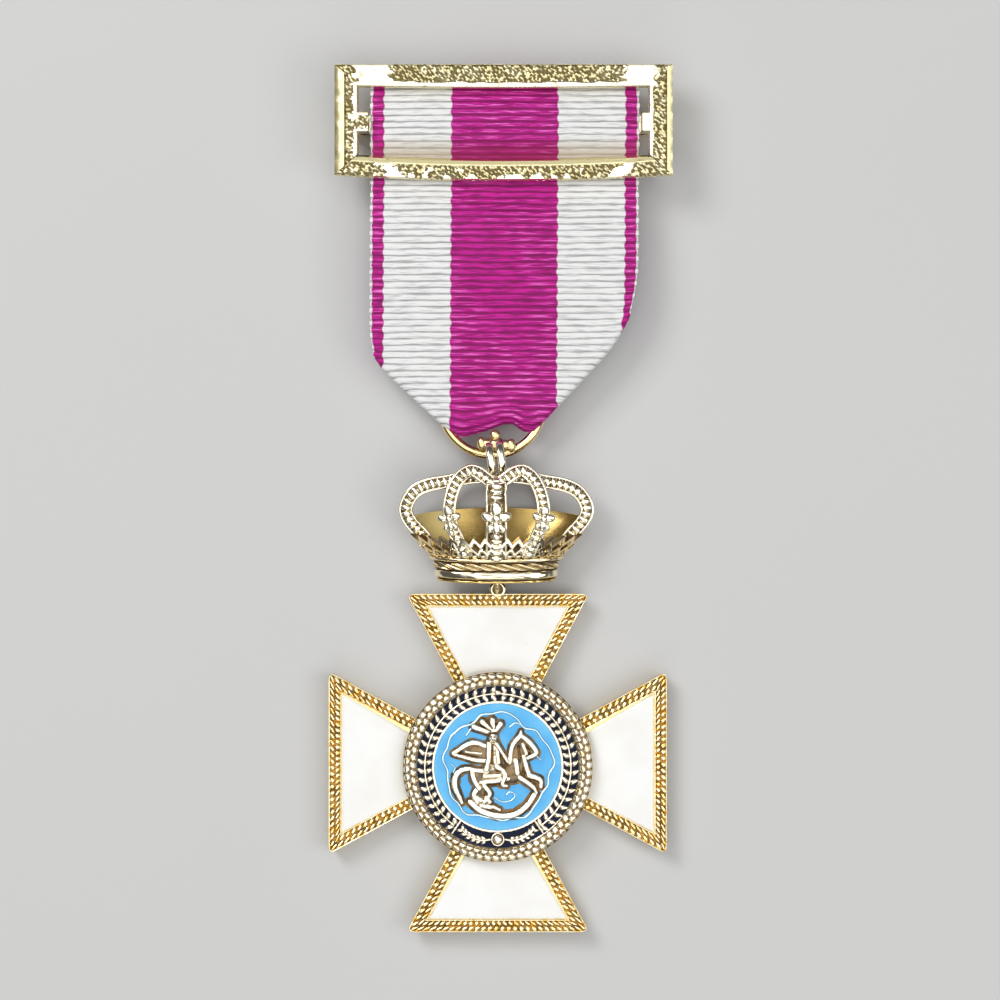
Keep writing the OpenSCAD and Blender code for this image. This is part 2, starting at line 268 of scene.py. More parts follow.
def beside(outline, distance):
    """A closed outline moved inwards, or outwards if its points run clockwise."""
    before = unit(outline - np.roll(outline, 1, 0))
    after = unit(np.roll(outline, -1, 0) - outline)
    normal_before = np.stack([-before[:, 1], before[:, 0]], 1)
    normal_after = np.stack([-after[:, 1], after[:, 0]], 1)
    mitre = normal_before + normal_after
    mitre /= np.maximum((mitre * normal_after).sum(1, keepdims=True), 0.2)
    return outline + distance * mitre


def slab(outline, low, high, bevel):
    """A flat plate with bevelled edges. Its outline runs anticlockwise."""
    inner = beside(outline, bevel)
    rings = [(inner, low), (outline, low + bevel), (outline, high - bevel), (inner, high)]
    points = np.stack([np.column_stack([ring, np.full(len(ring), z)]) for ring, z in rings])
    return grid(points, columns_meet=True, capped=True)


# Patterns, as heights from 0 to 1. u runs along, one unit to a repeat, and v across, from -1 to 1


def two_rows(u, v, pitch, apart, long_way, wide_way, lean):
    """Two rows of flat-topped grains, set alternately and leaning together. Sizes are in half widths."""
    height = np.zeros(np.broadcast(u, v).shape)
    for side in (-1, 1):
        along = ((u + 0.25 * side) % 1 - 0.5) * pitch
        across = v - side * apart
        a = along * math.cos(lean) + side * across * math.sin(lean)
        b = across * math.cos(lean) - side * along * math.sin(lean)
        height = np.maximum(height, 1 - (a / long_way) ** 2 - (b / wide_way) ** 2)
    return np.sqrt(np.clip(1.55 * height, 0, 1))


def rope(u, v):
    """One twisted rope, shown nearly to its edges."""
    v = v * 0.8
    strand = np.abs(np.cos(np.pi * (u + 0.9 * v)))
    return np.sqrt(np.clip(1 - v**4, 0, 1)) * (0.1 + 0.9 * strand**0.8)


def pebbles(x, y, pitch, seed):
    """Grains packed side by side, about a pitch apart."""
    random = np.random.default_rng(seed)
    shift = random.uniform(0.1, 0.9, (64, 64, 2))
    size = random.uniform(0.42, 0.66, (64, 64))
    x, y = x / pitch, y / pitch
    column, row = np.floor(x).astype(int), np.floor(y).astype(int)
    height = np.zeros_like(x)
    for right in (-1, 0, 1):
        for up in (-1, 0, 1):
            at = (column + right) % 64, (row + up) % 64
            middle_x = column + right + shift[at][..., 0]
            middle_y = row + up + shift[at][..., 1]
            away = np.hypot(x - middle_x, y - middle_y) / size[at]
            height = np.maximum(height, 1 - away**2)
    return np.clip(height, 0, None) ** 0.7


def uneven(x, y, pitch, seed):
    """A smooth random height, from -1 to 1."""
    table = np.random.default_rng(seed).uniform(-1, 1, (64, 64))
    x, y = np.broadcast_arrays(np.asarray(x, float) / pitch, np.asarray(y, float) / pitch)
    column, row = np.floor(x).astype(int), np.floor(y).astype(int)
    right, up = ease(0, 1, x - column), ease(0, 1, y - row)
    lower = table[column % 64, row % 64] * (1 - right) + table[(column + 1) % 64, row % 64] * right
    upper = table[column % 64, (row + 1) % 64] * (1 - right)
    upper = upper + table[(column + 1) % 64, (row + 1) % 64] * right
    return lower * (1 - up) + upper * up


# Finishes

def wire_of(tree, node, output=0):
    """One output of a node, ready for maths."""
    return Wire(tree, node.outputs[output])


def connect(tree, value, socket):
    """Puts a number, a colour or another node's output into a socket."""
    if isinstance(value, Wire):
        tree.links.new(value.socket, socket)
    else:
        socket.default_value = value


def add_node(tree, kind, settings, sockets):
    """A new node of a kind. Its settings are set first, then its sockets, by name or by number."""
    node = tree.nodes.new("ShaderNode" + kind)
    for name, value in settings.items():
        setattr(node, name, value)
    for name, value in sockets.items():
        connect(tree, value, node.inputs[name])
    return node


class Wire:
    """A node's output, so that shader maths reads as Python."""

    def __init__(self, tree, socket):
        self.tree = tree
        self.socket = socket

    def maths(self, operation, *values):
        node = add_node(self.tree, "Math", {"operation": operation}, dict(enumerate(values)))
        return wire_of(self.tree, node)

    def __add__(self, other):
        return self.maths("ADD", self, other)

    __radd__ = __add__

    def __sub__(self, other):
        return self.maths("SUBTRACT", self, other)

    def __rsub__(self, other):
        return self.maths("SUBTRACT", other, self)

    def __mul__(self, other):
        return self.maths("MULTIPLY", self, other)

    __rmul__ = __mul__

    def __abs__(self):
        return self.maths("ABSOLUTE", self)

    def sine(self):
        return self.maths("SINE", self)

    def rise(self, low, high):
        """A smooth rise from 0 at low to 1 at high."""
        settings = {"interpolation_type": "SMOOTHSTEP"}
        sockets = {"Value": self, "From Min": low, "From Max": high}
        return wire_of(self.tree, add_node(self.tree, "MapRange", settings, sockets))


class Finish:
    """A material whose nodes are added one call at a time."""

    def __init__(self, name):
        self.material = bpy.data.materials.new(name)
        self.material.use_nodes = True
        self.tree = self.material.node_tree
        self.surface = self.tree.nodes["Principled BSDF"]

    def node(self, kind, settings=None, sockets=None, output=0):
        return wire_of(self.tree, add_node(self.tree, kind, settings or {}, sockets or {}), output)

    def set(self, **sockets):
        """Sets the surface's own sockets. A word's underscore stands for a space."""
        for name, value in sockets.items():
            connect(self.tree, value, self.surface.inputs[name.replace("_", " ")])

    def place(self, stretch=(1, 1, 1)):
        """Where a point of the surface is, in millimetres, with each axis stretched."""
        where = self.node("TexCoord", output="Object")
        scale = tuple(share / MM for share in stretch)
        return self.node("VectorMath", {"operation": "MULTIPLY"}, {0: where, 1: scale})

    def marks(self):
        """The three marks of the shape's points."""
        marks = self.node("Attribute", {"attribute_name": "marks"}, output="Vector")
        node = add_node(self.tree, "SeparateXYZ", {}, {0: marks})
        return [wire_of(self.tree, node, i) for i in range(3)]

    def noise(self, place, scale, detail):
        """Cloudy noise, from 0 to 1."""
        return self.node("TexNoise", {}, {"Vector": place, "Scale": scale, "Detail": detail})

    def mix(self, share, first, second):
        """The first colour, and the second where the share is 1."""
        first, second = [c if isinstance(c, Wire) else (*c, 1) for c in (first, second)]
        return self.node("Mix", {"data_type": "RGBA"}, {0: share, 6: first, 7: second}, 2)

    def bump(self, height, depth):
        """Lets a height of 0 to 1 tip the surface's normal, as if it were that deep."""
        self.set(Normal=self.node("Bump", {}, {"Height": height, "Distance": depth * MM}))


def gilt(name, bright, deep, rough):
    """Gilt metal, bright on its raised parts, with painted shade that turns its hollows brown, and deep
    golden in spots.
    """
    scratches, grain = 0.004, 0.003
    finish = Finish(name)
    hollow, golden, spotted = finish.marks()
    place = finish.place()
    cloud = finish.noise(place, 0.5, 4)
    fine = finish.noise(place, 9, 3)
    lines = finish.noise(finish.place((1.5, 14, 1.5)), 1.2, 4)
    # Painted shade: the first mark darkens the gilt to brown and makes it less metallic, in hollows,
    # grooves and under parts
    dark = hollow.rise(0.25, 1.0) * (0.75 + 0.5 * cloud)
    patch = finish.noise(place, 1.1, 1).rise(0.42, 0.6)
    deep = finish.mix(patch, deep, tuple(c * 0.35 for c in deep))
    warmer = tuple(c * s for c, s in zip(bright, (1, 0.93, 0.8)))
    warm = finish.mix(cloud.rise(0.35, 0.7) * 0.35, bright, warmer)
    spot = finish.noise(place, 1.5, 1).rise(0.52, 0.62) * spotted
    warm = finish.mix(golden.maths("MAXIMUM", golden, spot), warm, (0.9, 0.6, 0.13))
    # Painted light: where the second mark nears 1, as on the left of the crown's inner wall, the gilt is
    # painted a matt bright yellow, as if lit
    painted_lit_yellow = golden.rise(0.86, 1.0)
    warm = finish.mix(painted_lit_yellow, warm, (1.0, 0.8, 0.32))
    finish.set(
        Base_Color=finish.mix(dark, warm, deep),
        Metallic=1 - 0.5 * dark - 0.85 * painted_lit_yellow,
        Roughness=rough + 0.1 * (lines - 0.5) + 0.12 * (cloud - 0.5) + 0.22 * dark,
    )
    depth = scratches + grain
    finish.bump(lines * (scratches / depth) + fine * (grain / depth), depth)
    return finish.material


def bar_gilt():
    """The bar's gilt: nearly white where polished, a painted highlight, yellow on its slopes and olive
    where stippled.
    """
    finish = Finish("bar gilt")
    hollow, stippled, sloped = finish.marks()
    place = finish.place()
    cloud = finish.noise(place, 0.5, 4)
    fine = finish.noise(place, 9, 3)
    speck = finish.noise(place, 1.7, 1).rise(0.66, 0.71) * (1 - sloped)
    # Painted shade between the stippling's grains and in the grooves
    dark = hollow.rise(0.2, 1.0) * (0.75 + 0.5 * cloud)
    # The pale polished colour is a painted highlight on the flats; the slopes keep a yellower gilt
    polished = finish.mix(speck * 0.75, (0.97, 0.9, 0.68), (0.5, 0.42, 0.24))
    polished = finish.mix(sloped, polished, (0.88, 0.78, 0.44))
    grains = finish.mix(cloud.rise(0.35, 0.65), (0.92, 0.84, 0.54), (0.8, 0.69, 0.36))
    finish.set(
        Base_Color=finish.mix(dark, finish.mix(stippled, polished, grains), (0.17, 0.13, 0.045)),
        Metallic=1 - 0.4 * dark,
        Roughness=0.13 + 0.14 * stippled + 0.1 * cloud + 0.15 * dark,
    )
    finish.bump(fine, 0.006)
    return finish.material


def enamel(name, colour, shade, specks, wave=0.02, cloud_size=0.25, gloss=0.5):
    """Glossy enamel with a faint cloud in its colour and a few dark specks."""
    finish = Finish(name)
    place = finish.place()
    cloud = finish.noise(place, cloud_size, 4)
    dots = finish.node("TexVoronoi", {}, {"Vector": place, "Scale": 0.42})
    near = finish.noise(place, 0.9, 0)
    speck = (1 - dots.rise(0.02, 0.05)) * near.rise(0.5, 0.62)
    # The first mark tints the enamel towards its shade colour near a field's edge; on the white arms this
    # is painted shade beside the medallion
    edge, _, _ = finish.marks()
    share = cloud.rise(0.3, 0.75) * 0.5 + edge * 0.6
    tint = finish.mix(share, colour, shade)
    finish.set(
        Base_Color=finish.mix(speck * 0.7, tint, specks),
        Roughness=0.09 + 0.06 * finish.noise(place, 2.5, 3),
        Specular_IOR_Level=gloss,
    )
    finish.bump(finish.noise(place, 0.22, 2), wave)
    return finish.material


# The ribbon's width and its two edges beside the crossbar

silk_width = 29.8
silk_shift = 0.2
silk_middle = (ribbon_low[0] + ribbon_high[0]) / 2
edge_wave = 0.15
silk_left = silk_middle + silk_shift - silk_width / 2 - edge_wave
silk_right = silk_middle + silk_shift + silk_width / 2 + edge_wave


# The bar: a stippled frame with polished ends, a raised inner lip and the crossbar's ends

bar_left, bar_right = bar_low[0] + 0.3, bar_high[0]
bar_middle_x = (bar_left + bar_right) / 2
bar_width = bar_right - bar_left
bar_top = bar_high[1]
rail_bow = 0.65
bar_face = bar_high[2]
bar_thick = 1.4
bar_back = bar_face - bar_thick
top_rail = 2.45
top_rail_bow = 0.25
left_rail, right_rail = 2.7, 2.75
window_height = 7.45
bar_foot = bar_low[1] + rail_bow
crossbar_drop = 6.45
crossbar_y = bar_top - crossbar_drop
crossbar_half = 1.1
crossbar_low = bar_low[2]
crossbar_thick = 1.0
lip_width = 0.62
lower_lip_width = 0.85
end_bevel = {"left": 1.15, "right": 0.68}
end_drop = {"left": 0.3, "right": 0.14}
bar_pitch = 0.08
grain_pitch = 0.39
grain_height = 0.17
ground_depth = 0.2
lower_rim = 0.25
lower_rim_drop = 0.55
lower_lip_drop = 0.15
outer_bevel = 0.2
outer_bevel_drop = 0.3
groove_width = 0.09
groove_depth = 0.1

# The polished patches of the frame: left, right, lower and upper edge, from the bar's middle and top,
# and how far each moves to the right for a millimetre down
polished_patches = (
    (-16.9, -12.6, -2.8, 0.5, 0.35),
    (-16.6, -15.6, -6.0, -2.0, 0.0),
    (13.5, 16.9, -2.8, 0.5, 0.1),
    (-15.6, -13.6, -13.0, -9.8, 1.2),
    (13.7, 15.7, -12.4, -9.8, -0.8),
)


def polished_part(x, y):
    """1 where the frame's face is polished, 0 where it is stippled."""
    x, y = x - bar_middle_x, y - bar_top
    ragged = 0.5 * uneven(x, y, 0.7, 3) + 0.35 * uneven(x, y, 0.3, 13)
    share = np.zeros_like(x)
    for left, right, low, high, shear in polished_patches:
        moved_x = x + ragged + shear * (y - min(high, 0) + 0.3)
        across = ease(left - 0.2, left + 0.2, moved_x) * ease(right + 0.2, right - 0.2, moved_x)
        up = ease(low - 0.2, low + 0.2, y + ragged) * ease(high + 0.2, high - 0.2, y + ragged)
        share = np.maximum(share, across * up)
    return share


def bar_grains(x, y):
    """The stippling's grains, from 0 to 1."""
    return pebbles(x + 0.3 * y, y, grain_pitch, 5)


def bow(x, depth):
    """How far the lower rail hangs down at x."""
    return depth * (1 - (2 * (x - bar_middle_x) / bar_width) ** 2)


def bar_side(start, end, inner_start, inner_end, side):
    """One side of the frame, between its mitred corners."""
    upright, lower, upper = side in ("left", "right"), side == "lower", side == "upper"
    start, end, inner_start, inner_end = map(np.array, (start, end, inner_start, inner_end))
    rows = round(np.linalg.norm(end - start) / bar_pitch)
    columns = round(np.linalg.norm(inner_start - start) / bar_pitch * 0.72)
    t = np.linspace(0, 1, rows)[:, None, None]
    s = np.concatenate([[0, 0], np.linspace(0.02, 0.98, columns), [1, 1]])[None, :, None]
    outer = start + (end - start) * t
    inner = inner_start + (inner_end - inner_start) * t
    plan = outer + (inner - outer) * s
    width = abs((inner_start - start)[0 if upright else 1])
    x, y = plan[..., 0], plan[..., 1]
    s = np.broadcast_to(s[..., 0], x.shape)
    if lower:
        y = y - bow(x, rail_bow)
    if upper:
        y = y - bow(x, top_rail_bow) * s
    from_outer, from_inner = s * width, (1 - s) * width
    polished = polished_part(x, y)
    lip_reach = lower_lip_width if lower else lip_width + 0.1 * uneven(x + y, 0 * x, 0.9, 31)
    lip = ease(lip_reach + 0.1, lip_reach - 0.1, from_inner)
    if side == "left":
        lip = lip * ease(crossbar_half - 0.45, crossbar_half - 0.2, np.abs(y - crossbar_y))
    if lower:
        lumps = uneven(x, y, 0.75, 21) + 0.4 * uneven(x, y, 0.28, 22) + 0.75 - 0.95 * from_outer
        lumps = ease(0.1, 0.4, lumps) * ease(0.02, 0.14, from_outer)
        polished = np.maximum(polished, lumps * ease(14, 12.5, np.abs(x - bar_middle_x)))
    grains = bar_grains(x, y) * (0.8 + 0.2 * uneven(x, y, 1.1, 9))
    stippled = 1 - np.maximum(polished, lip)
    z = bar_face - ground_depth * stippled + grain_height * grains * stippled
    z = z + 0.012 * uneven(x, y, 0.8, 41) * polished
    sloped = np.zeros_like(x)
    if upright:
        reach, drop = end_bevel[side], end_drop[side]
        sloped = ease(reach + 0.06, reach - 0.06, from_outer)
        fall = drop * (1 - np.clip(from_outer / reach, 0, 1)) ** 1.6
        z = z * (1 - sloped) + sloped * (bar_face - fall + 0.02 * uneven(x, y, 0.9, 51))
    else:
        z = z - outer_bevel_drop * ease(outer_bevel, 0, from_outer)
    if lower:
        slope = np.clip(1 - (from_inner - lower_rim) / (lower_lip_width - lower_rim), 0, 1)
        z = z - lower_lip_drop * slope * lip
        z = z - lower_rim_drop * np.clip(1 - from_inner / lower_rim, 0, 1)
        sloped = np.maximum(sloped, lip)
    else:
        z = z - 0.14 * ease(lip_width * 0.45, 0, from_inner) ** 2 * lip
    stippled = stippled * (1 - sloped)
    hollow = stippled * (1 - grains)
    if upright:
        groove = np.exp(-(((from_outer - end_bevel[side] - 0.08) / groove_width) ** 2))
        z = z - groove_depth * groove
        hollow = np.maximum(hollow, groove)
    z[:, 0] = bar_back
    z[:, 1] = bar_face - 0.45
    z[:, -2] = z[:, -3] - 0.1
    z[:, -1] = bar_back
    marks = np.stack([hollow, stippled, sloped], -1)
    marks[:, :2] = (0, 0, 1)
    marks[:, -2:] = (0, 0, 0.5)
    return grid(np.stack([x, y, z], -1), columns_meet=True, marks=marks)


def bar_shape():
    """The whole frame, with its crossbar and the crossbar's ends beside the ribbon."""
    left, right = bar_left, bar_right
    inner_left, inner_right = left + left_rail, right - right_rail
    window_top = bar_top - top_rail
    window_foot = window_top - window_height
    outer = [(left, bar_foot), (right, bar_foot), (right, bar_top), (left, bar_top)]
    inner = [(inner_left, window_foot), (inner_right, window_foot), (inner_right, window_top),
             (inner_left, window_top)]
    sides = []
    for i, side in enumerate(("lower", "right", "upper", "left")):
        j = (i + 1) % 4
        sides.append(bar_side(outer[i], outer[j], inner[i], inner[j], side))

    low_y, high_y = crossbar_y - crossbar_half, crossbar_y + crossbar_half

    def crossbar_part(start, end, top, bevel, relief, pitch):
        return topped_block((start, low_y, crossbar_low), (end, high_y, top), bevel, relief, pitch)

    def inside(y):
        return ease(0, 0.25, np.minimum(y - low_y, high_y - y) - 0.3)

    def stipple(x, y):
        return (grain_height * bar_grains(x, y) - ground_depth) * inside(y)

    def polish(x, y):
        return 0.02 * uneven(x, y, 0.9, 4)

    # Just above the frame's face, so that the two don't share a plane
    top = bar_face + 0.01
    silk_room = 0.12
    left_end = crossbar_part(inner_left - lip_width, silk_left - silk_room, top, 0.1, stipple, bar_pitch)
    x, y, _ = left_end.points.T
    left_end.marks[:, 0] = (1 - bar_grains(x, y)) * inside(y)
    left_end.marks[:, 1] = inside(y)
    right_end = crossbar_part(silk_right + silk_room, inner_right + lip_width, top, 0.14, polish, 0.1)
    crossbar = crossbar_part(inner_left, inner_right, crossbar_low + crossbar_thick, 0.2, None, 1.0)
    return joined(*sides, left_end, right_end, crossbar)


# The brooch pin: a hinge block, a catch block with its hook, and the wire with its point

def pin_shape():
    """The pin at the back of the bar."""
    block_width = 2.2
    wire_radius = 0.45
    point_radius = 0.25
    hook_radius = 0.95
    knuckle_radius = 0.78
    blocks = []
    for x in (pin_low[0], pin_high[0] - block_width):
        low = (x, pin_low[1], pin_low[2])
        high = (x + block_width, pin_high[1], pin_high[2])
        blocks.append(topped_block(low, high, 0.25, None, 0.4))
    wire_z = 1.0
    wire_y = (pin_low[1] + pin_high[1]) / 2
    left, right = pin_low[0] + block_width, pin_high[0] - block_width
    path = evenly(np.array([(left - 0.4, wire_y, wire_z), (right + 0.4, wire_y, wire_z)]), 0.8)
    along = (path[:, 0] - left) / (right - left)
    path[:, 2] += 0.15 * np.sin(np.pi * np.clip(along, 0, 1))
    thin = wire_radius - (wire_radius - point_radius) * ease(0.75, 1, along)
    wire = swept(path, circle(1, 14)[None] * thin[:, None, None], (0, 1, 0))
    turn = np.linspace(-0.4 * np.pi, 1.25 * np.pi, 26)
    hook = np.stack([np.full_like(turn, right - 0.5), wire_y + hook_radius * np.cos(turn),
                     wire_z + 0.05 + hook_radius * np.sin(turn)], 1)
    hook = swept(hook, box_section(1.1, 0.35, 0.12), (1, 0, 0))
    knuckle = np.array([(left + 0.45, wire_y + side * 0.9, wire_z + 0.1) for side in (-1, 1)])
    knuckle = swept(evenly(knuckle, 0.3), circle(knuckle_radius, 20), (1, 0, 0))
    return joined(*blocks, wire, hook, knuckle)


# The ribbon: ribbed silk, folded over the crossbar and through the ring

rib_pitch = 0.71
cloth_half = 0.2
rib_depth = 0.09
layer_z = (ring_low[2] + ring_high[2]) / 2
loop_radius = 1.35
loop_margin = 0.25
fold_foot = ribbon_low[1]
straight_low = fold_foot + loop_margin + loop_radius
straight_high = ribbon_high[1] - loop_margin - loop_radius
rail_along = straight_high - (bar_top - top_rail - window_height)
front_rows_per_rib = 8
back_rows_per_rib = 4
left_turn_y, right_turn_y = 16.0, 20.0
foot_left, foot_right = -6.0, 4.1
fold_left = (ribbon_low[0], left_turn_y), (foot_left, fold_foot)
fold_right = (ribbon_high[0], right_turn_y), (foot_right, fold_foot)
window_swell = 1.15
body_swell = 1.1
fold_radius = 0.33
roll = np.pi * fold_radius

# How far the ribbon's gathered foot is pulled up, at places across it
foot_line = (
    (-6, -0.2), (-5.4, -0.5), (-4.1, -1.0), (-1.6, -0.3), (0.3, 0.45),
    (1.5, 0.5), (2.7, -0.35), (3.7, -0.45), (4.4, -0.1),
)


def ribbon_loop():
    """The loop seen from its side: how far along, y and z of each row."""
    straight = straight_high - straight_low
    bend = np.pi * loop_radius
    length = 2 * (straight + bend)
    front = np.arange(0, straight + bend, rib_pitch / front_rows_per_rib)
    back_pitch = rib_pitch / back_rows_per_rib
    back = np.arange(straight + bend, length - back_pitch, back_pitch)
    along = np.concatenate([front, back])
    turn_low = np.clip((along - straight) / loop_radius, 0, np.pi)
    turn_high = np.clip((along - 2 * straight - bend) / loop_radius, 0, np.pi)
    y = straight_high - np.clip(along, 0, straight) + np.clip(along - straight - bend, 0, straight)
    y = y - loop_radius * np.sin(turn_low) + loop_radius * np.sin(turn_high)
    z = layer_z + loop_radius * (np.cos(turn_low) + (1 - np.cos(turn_high)))
    return along, y, z, length


def fold_at(line, y):
    """Where a slanting fold crosses each row, as x. Above its upper end it stays there."""
    (outer_x, outer_y), (inner_x, inner_y) = line
    share = np.clip((y - inner_y) / (outer_y - inner_y), -0.1, 1)
    return inner_x + (outer_x - inner_x) * share


def ribbon_columns(y):
    """The columns of each row, across the ribbon. They crowd where the row is folded."""
    edge = silk_width / 2
    left = np.maximum(fold_at(fold_left, y) - silk_middle, 1.2 - edge)
    right = np.minimum(fold_at(fold_right, y) - silk_middle, edge - 1.2)
    stops = np.stack([np.full_like(y, -edge), left - 0.6, left + 0.6, right - 0.6, right + 0.6,
                      np.full_like(y, edge)], 1)
    counts = (6, 9, 38, 9, 6)
    columns = []
    for i, count in enumerate(counts):
        share = np.arange(count) / count
        columns.append(stops[:, i : i + 1] + (stops[:, i + 1 : i + 2] - stops[:, i : i + 1]) * share)
    return np.concatenate(columns + [stops[:, -1:]], 1)


def folded_in(points, line, outwards):
    """Turns what lies beyond a slanting fold back inside the loop, with a round edge."""
    (outer_x, outer_y), (inner_x, inner_y) = line
    ahead = unit(np.array([inner_x - outer_x, inner_y - outer_y]))
    normal = np.array([ahead[1], -ahead[0]])
    normal = normal * np.sign(normal[0]) * outwards
    beyond = (points[..., 0] - inner_x) * normal[0] + (points[..., 1] - inner_y) * normal[1]
    turn = np.clip((beyond + roll / 2) / fold_radius, 0, np.pi)
    place = np.where(beyond < roll / 2, -roll / 2 + fold_radius * np.sin(turn), -beyond)
    place = np.where(beyond < -roll / 2, beyond, place)
    squeeze = 1 - (2 * fold_radius / loop_radius) * (1 - np.cos(turn)) / 2
    points = points.copy()
    points[..., :2] += (place - beyond)[..., None] * normal
    points[..., 2] = layer_z + (points[..., 2] - layer_z) * squeeze
    return points


def rounded_turn(points, line, reach, inwards):
    """Draws in the corner where a slanting fold begins, so that it is round."""
    (outer_x, outer_y), (inner_x, inner_y) = line
    slant = unit(np.array([inner_x - outer_x, inner_y - outer_y]))
    way = unit(slant + (0, 1))
    away = (points[..., 0] - outer_x) * way[0] + (points[..., 1] - outer_y) * way[1]
    near = np.clip(reach - away, 0, 2 * reach) * ease(0, 2, (points[..., 0] - silk_middle) * -inwards)
    points = points.copy()
    points[..., :2] += (near**2 / (2.2 * reach))[..., None] * way
    return points


def ribbon_shape():
    """The ribbon as one closed loop of cloth, and its flat length."""
    along, y, z, length = ribbon_loop()
    across = ribbon_columns(y)
    shape = across.shape
    along, y, z = (np.broadcast_to(value[:, None], shape) for value in (along, y, z))
    drift = 0.07 * uneven(across, along, 7, 2) + 0.06 * uneven(across, along, 2.5, 5)
    crest = np.abs(np.sin(np.pi * (along / rib_pitch + drift))) ** 0.7
    loops = 0.11 * np.clip(np.sin(np.pi * along / rib_pitch), 0, 1) * np.sign(across)
    edge = ease(silk_width / 2 - 0.7, silk_width / 2, np.abs(across))
    x = silk_middle + across + loops * edge
    x = x + silk_shift * np.clip((y - fold_foot) / (crossbar_y - fold_foot), 0, 1)
    front = np.clip((z - layer_z) / loop_radius, 0, 1)
    window = ease(37.7, 40.6, y) * ease(46.4, 43.6, y)
    body = ease(35.5, 30.5, y) * ease(12, 29, y)
    swell = window_swell * window * np.clip(1 - (np.abs(across) / 16) ** 4, 0, 1)
    swell = swell + body_swell * body * (1 - 0.35 * (across / 15) ** 2)
    swell = swell + 0.16 * uneven(across, y, 5, 12) * ease(36, 33, y)
    y = y + np.interp(x, *zip(*foot_line)) * ease(11.8, 8, y)
    points = np.stack([x, y, z + front * swell], -1)
    points = folded_in(points, fold_left, -1)
    points = folded_in(points, fold_right, 1)
    points = rounded_turn(points, fold_left, 1.6, 1)
    points = rounded_turn(points, fold_right, 2.6, -1)
    down = np.roll(points, -1, 0) - np.roll(points, 1, 0)
    right = np.gradient(points, axis=1)
    normal = unit(np.cross(down, right))
    if normal[shape[0] // 8, shape[1] // 2, 2] < 0:
        normal = -normal
    thick = (cloth_half + rib_depth * crest)[..., None]
    both = np.concatenate([points + normal * thick, (points - normal * thick)[:, ::-1]], 1)
    marks = np.stack([across, along, crest], -1)
    marks = np.concatenate([marks, marks[:, ::-1]], 1)
    return grid(both, True, True, marks), length


# Where the stripes change colour, in millimetres from the silk's middle: the start and end of each change
middle_edge = (5.86, 6.02)
field_edge = (13.36, 13.5)
selvedge = (14.62, 14.74)


def ribbed_silk():
    """Silk with ribs across it, in stripes of white and magenta, with fine threads along it."""
    finish = Finish("ribbed silk")
    across, along, crest = finish.marks()
    half_turn = along * (math.pi / rib_pitch)
    weave = half_turn.sine()
    place = finish.place()
    wander = finish.noise(place, 1.6, 2) - 0.5
    side = abs(across) + 0.08 * weave + 0.16 * wander
    zigzag = abs(across) + 0.08 * weave + 0.12 * wander
    white = side.rise(*middle_edge) * (1 - side.rise(*field_edge)) + zigzag.rise(*selvedge)
    threads = finish.noise(finish.place((7, 0.35, 1)), 2.4, 3)
    flecks = finish.noise(finish.place((0.45, 6, 1)), 1.1, 3)
    clouds = finish.noise(place, 0.11, 2)
    # Painted shade in the ribs' valleys and painted highlights on their crests, in both the magenta and the
    # white
    rib_shade_and_highlight = crest * (0.5 + flecks.rise(0.3, 0.75))
    magenta = finish.mix(rib_shade_and_highlight.rise(0.15, 1.1), (0.2, 0.002, 0.09), (0.6, 0.01, 0.31))
    # Painted highlights: pink glints along some of the crests
    glint = crest.rise(0.7, 1.0) * flecks.rise(0.48, 0.7) * clouds.rise(0.38, 0.58)
    magenta = finish.mix(glint * 0.85, magenta, (0.92, 0.27, 0.72))
    cream = finish.mix(rib_shade_and_highlight.rise(0.05, 0.8), (0.33, 0.33, 0.33), (0.85, 0.85, 0.84))
    # Painted shade and a painted brown reflection of the lower rail, on the silk just above where it runs
    # under the rail
    painted_rail_shade = along.rise(rail_along - 2.4, rail_along + 0.1)
    painted_rail_shade = painted_rail_shade * (1 - along.rise(rail_along + 0.8, rail_along + 0.9))
    silk = finish.mix(white, magenta, cream)
    finish.set(
        Base_Color=finish.mix(painted_rail_shade * 0.6, silk, finish.mix(white, (0.3, 0.02, 0.08), (0.5, 0.4, 0.27))),
        Roughness=0.5 + 0.2 * threads,
        Sheen_Weight=0.1,
        Sheen_Roughness=0.4,
        Specular_IOR_Level=0.25,
    )
    fine = (across * (2 * math.pi / 0.21)).sine() * 0.08 + threads * 0.6 + flecks * 0.5
    finish.bump(fine, 0.035)
    return finish.material


# The rings

def ring_shape():
    """The suspension ring, of round wire with a soldered joint."""
    wire = (ring_high[2] - ring_low[2]) / 2
    radius = (ring_high[0] - ring_low[0]) / 2 - wire
    path, outwards = flat_ring((ring_low + ring_high) / 2, radius, 200)
    turn = np.arctan2(outwards[:, 1], outwards[:, 0])
    joint = 0.06 * np.exp(-(((turn - 1.9) / 0.05) ** 2))
    thick = wire * (1 + joint + 0.012 * uneven(turn, 0 * turn, 0.15, 6))
    return swept(path, circle(1, 24)[None] * thick[:, None, None], outwards, closed=True)


def standing_ring(centre, radius, wire, facing):
    """A small ring of wire that stands on edge, facing a way. Its wire is given by its width."""
    facing = unit(np.asarray(facing, float))
    first = unit(np.cross(facing, (0, 0, 1)) + 1e-9)
    second = np.cross(facing, first)
    turn = circle(1, 48)
    outwards = turn[:, :1] * first + turn[:, 1:] * second
    return swept(np.asarray(centre, float) + radius * outwards, circle(wire / 2, 14), outwards, closed=True)


# The cross: a plate, chased borders, an eyelet and the enamel of the arms

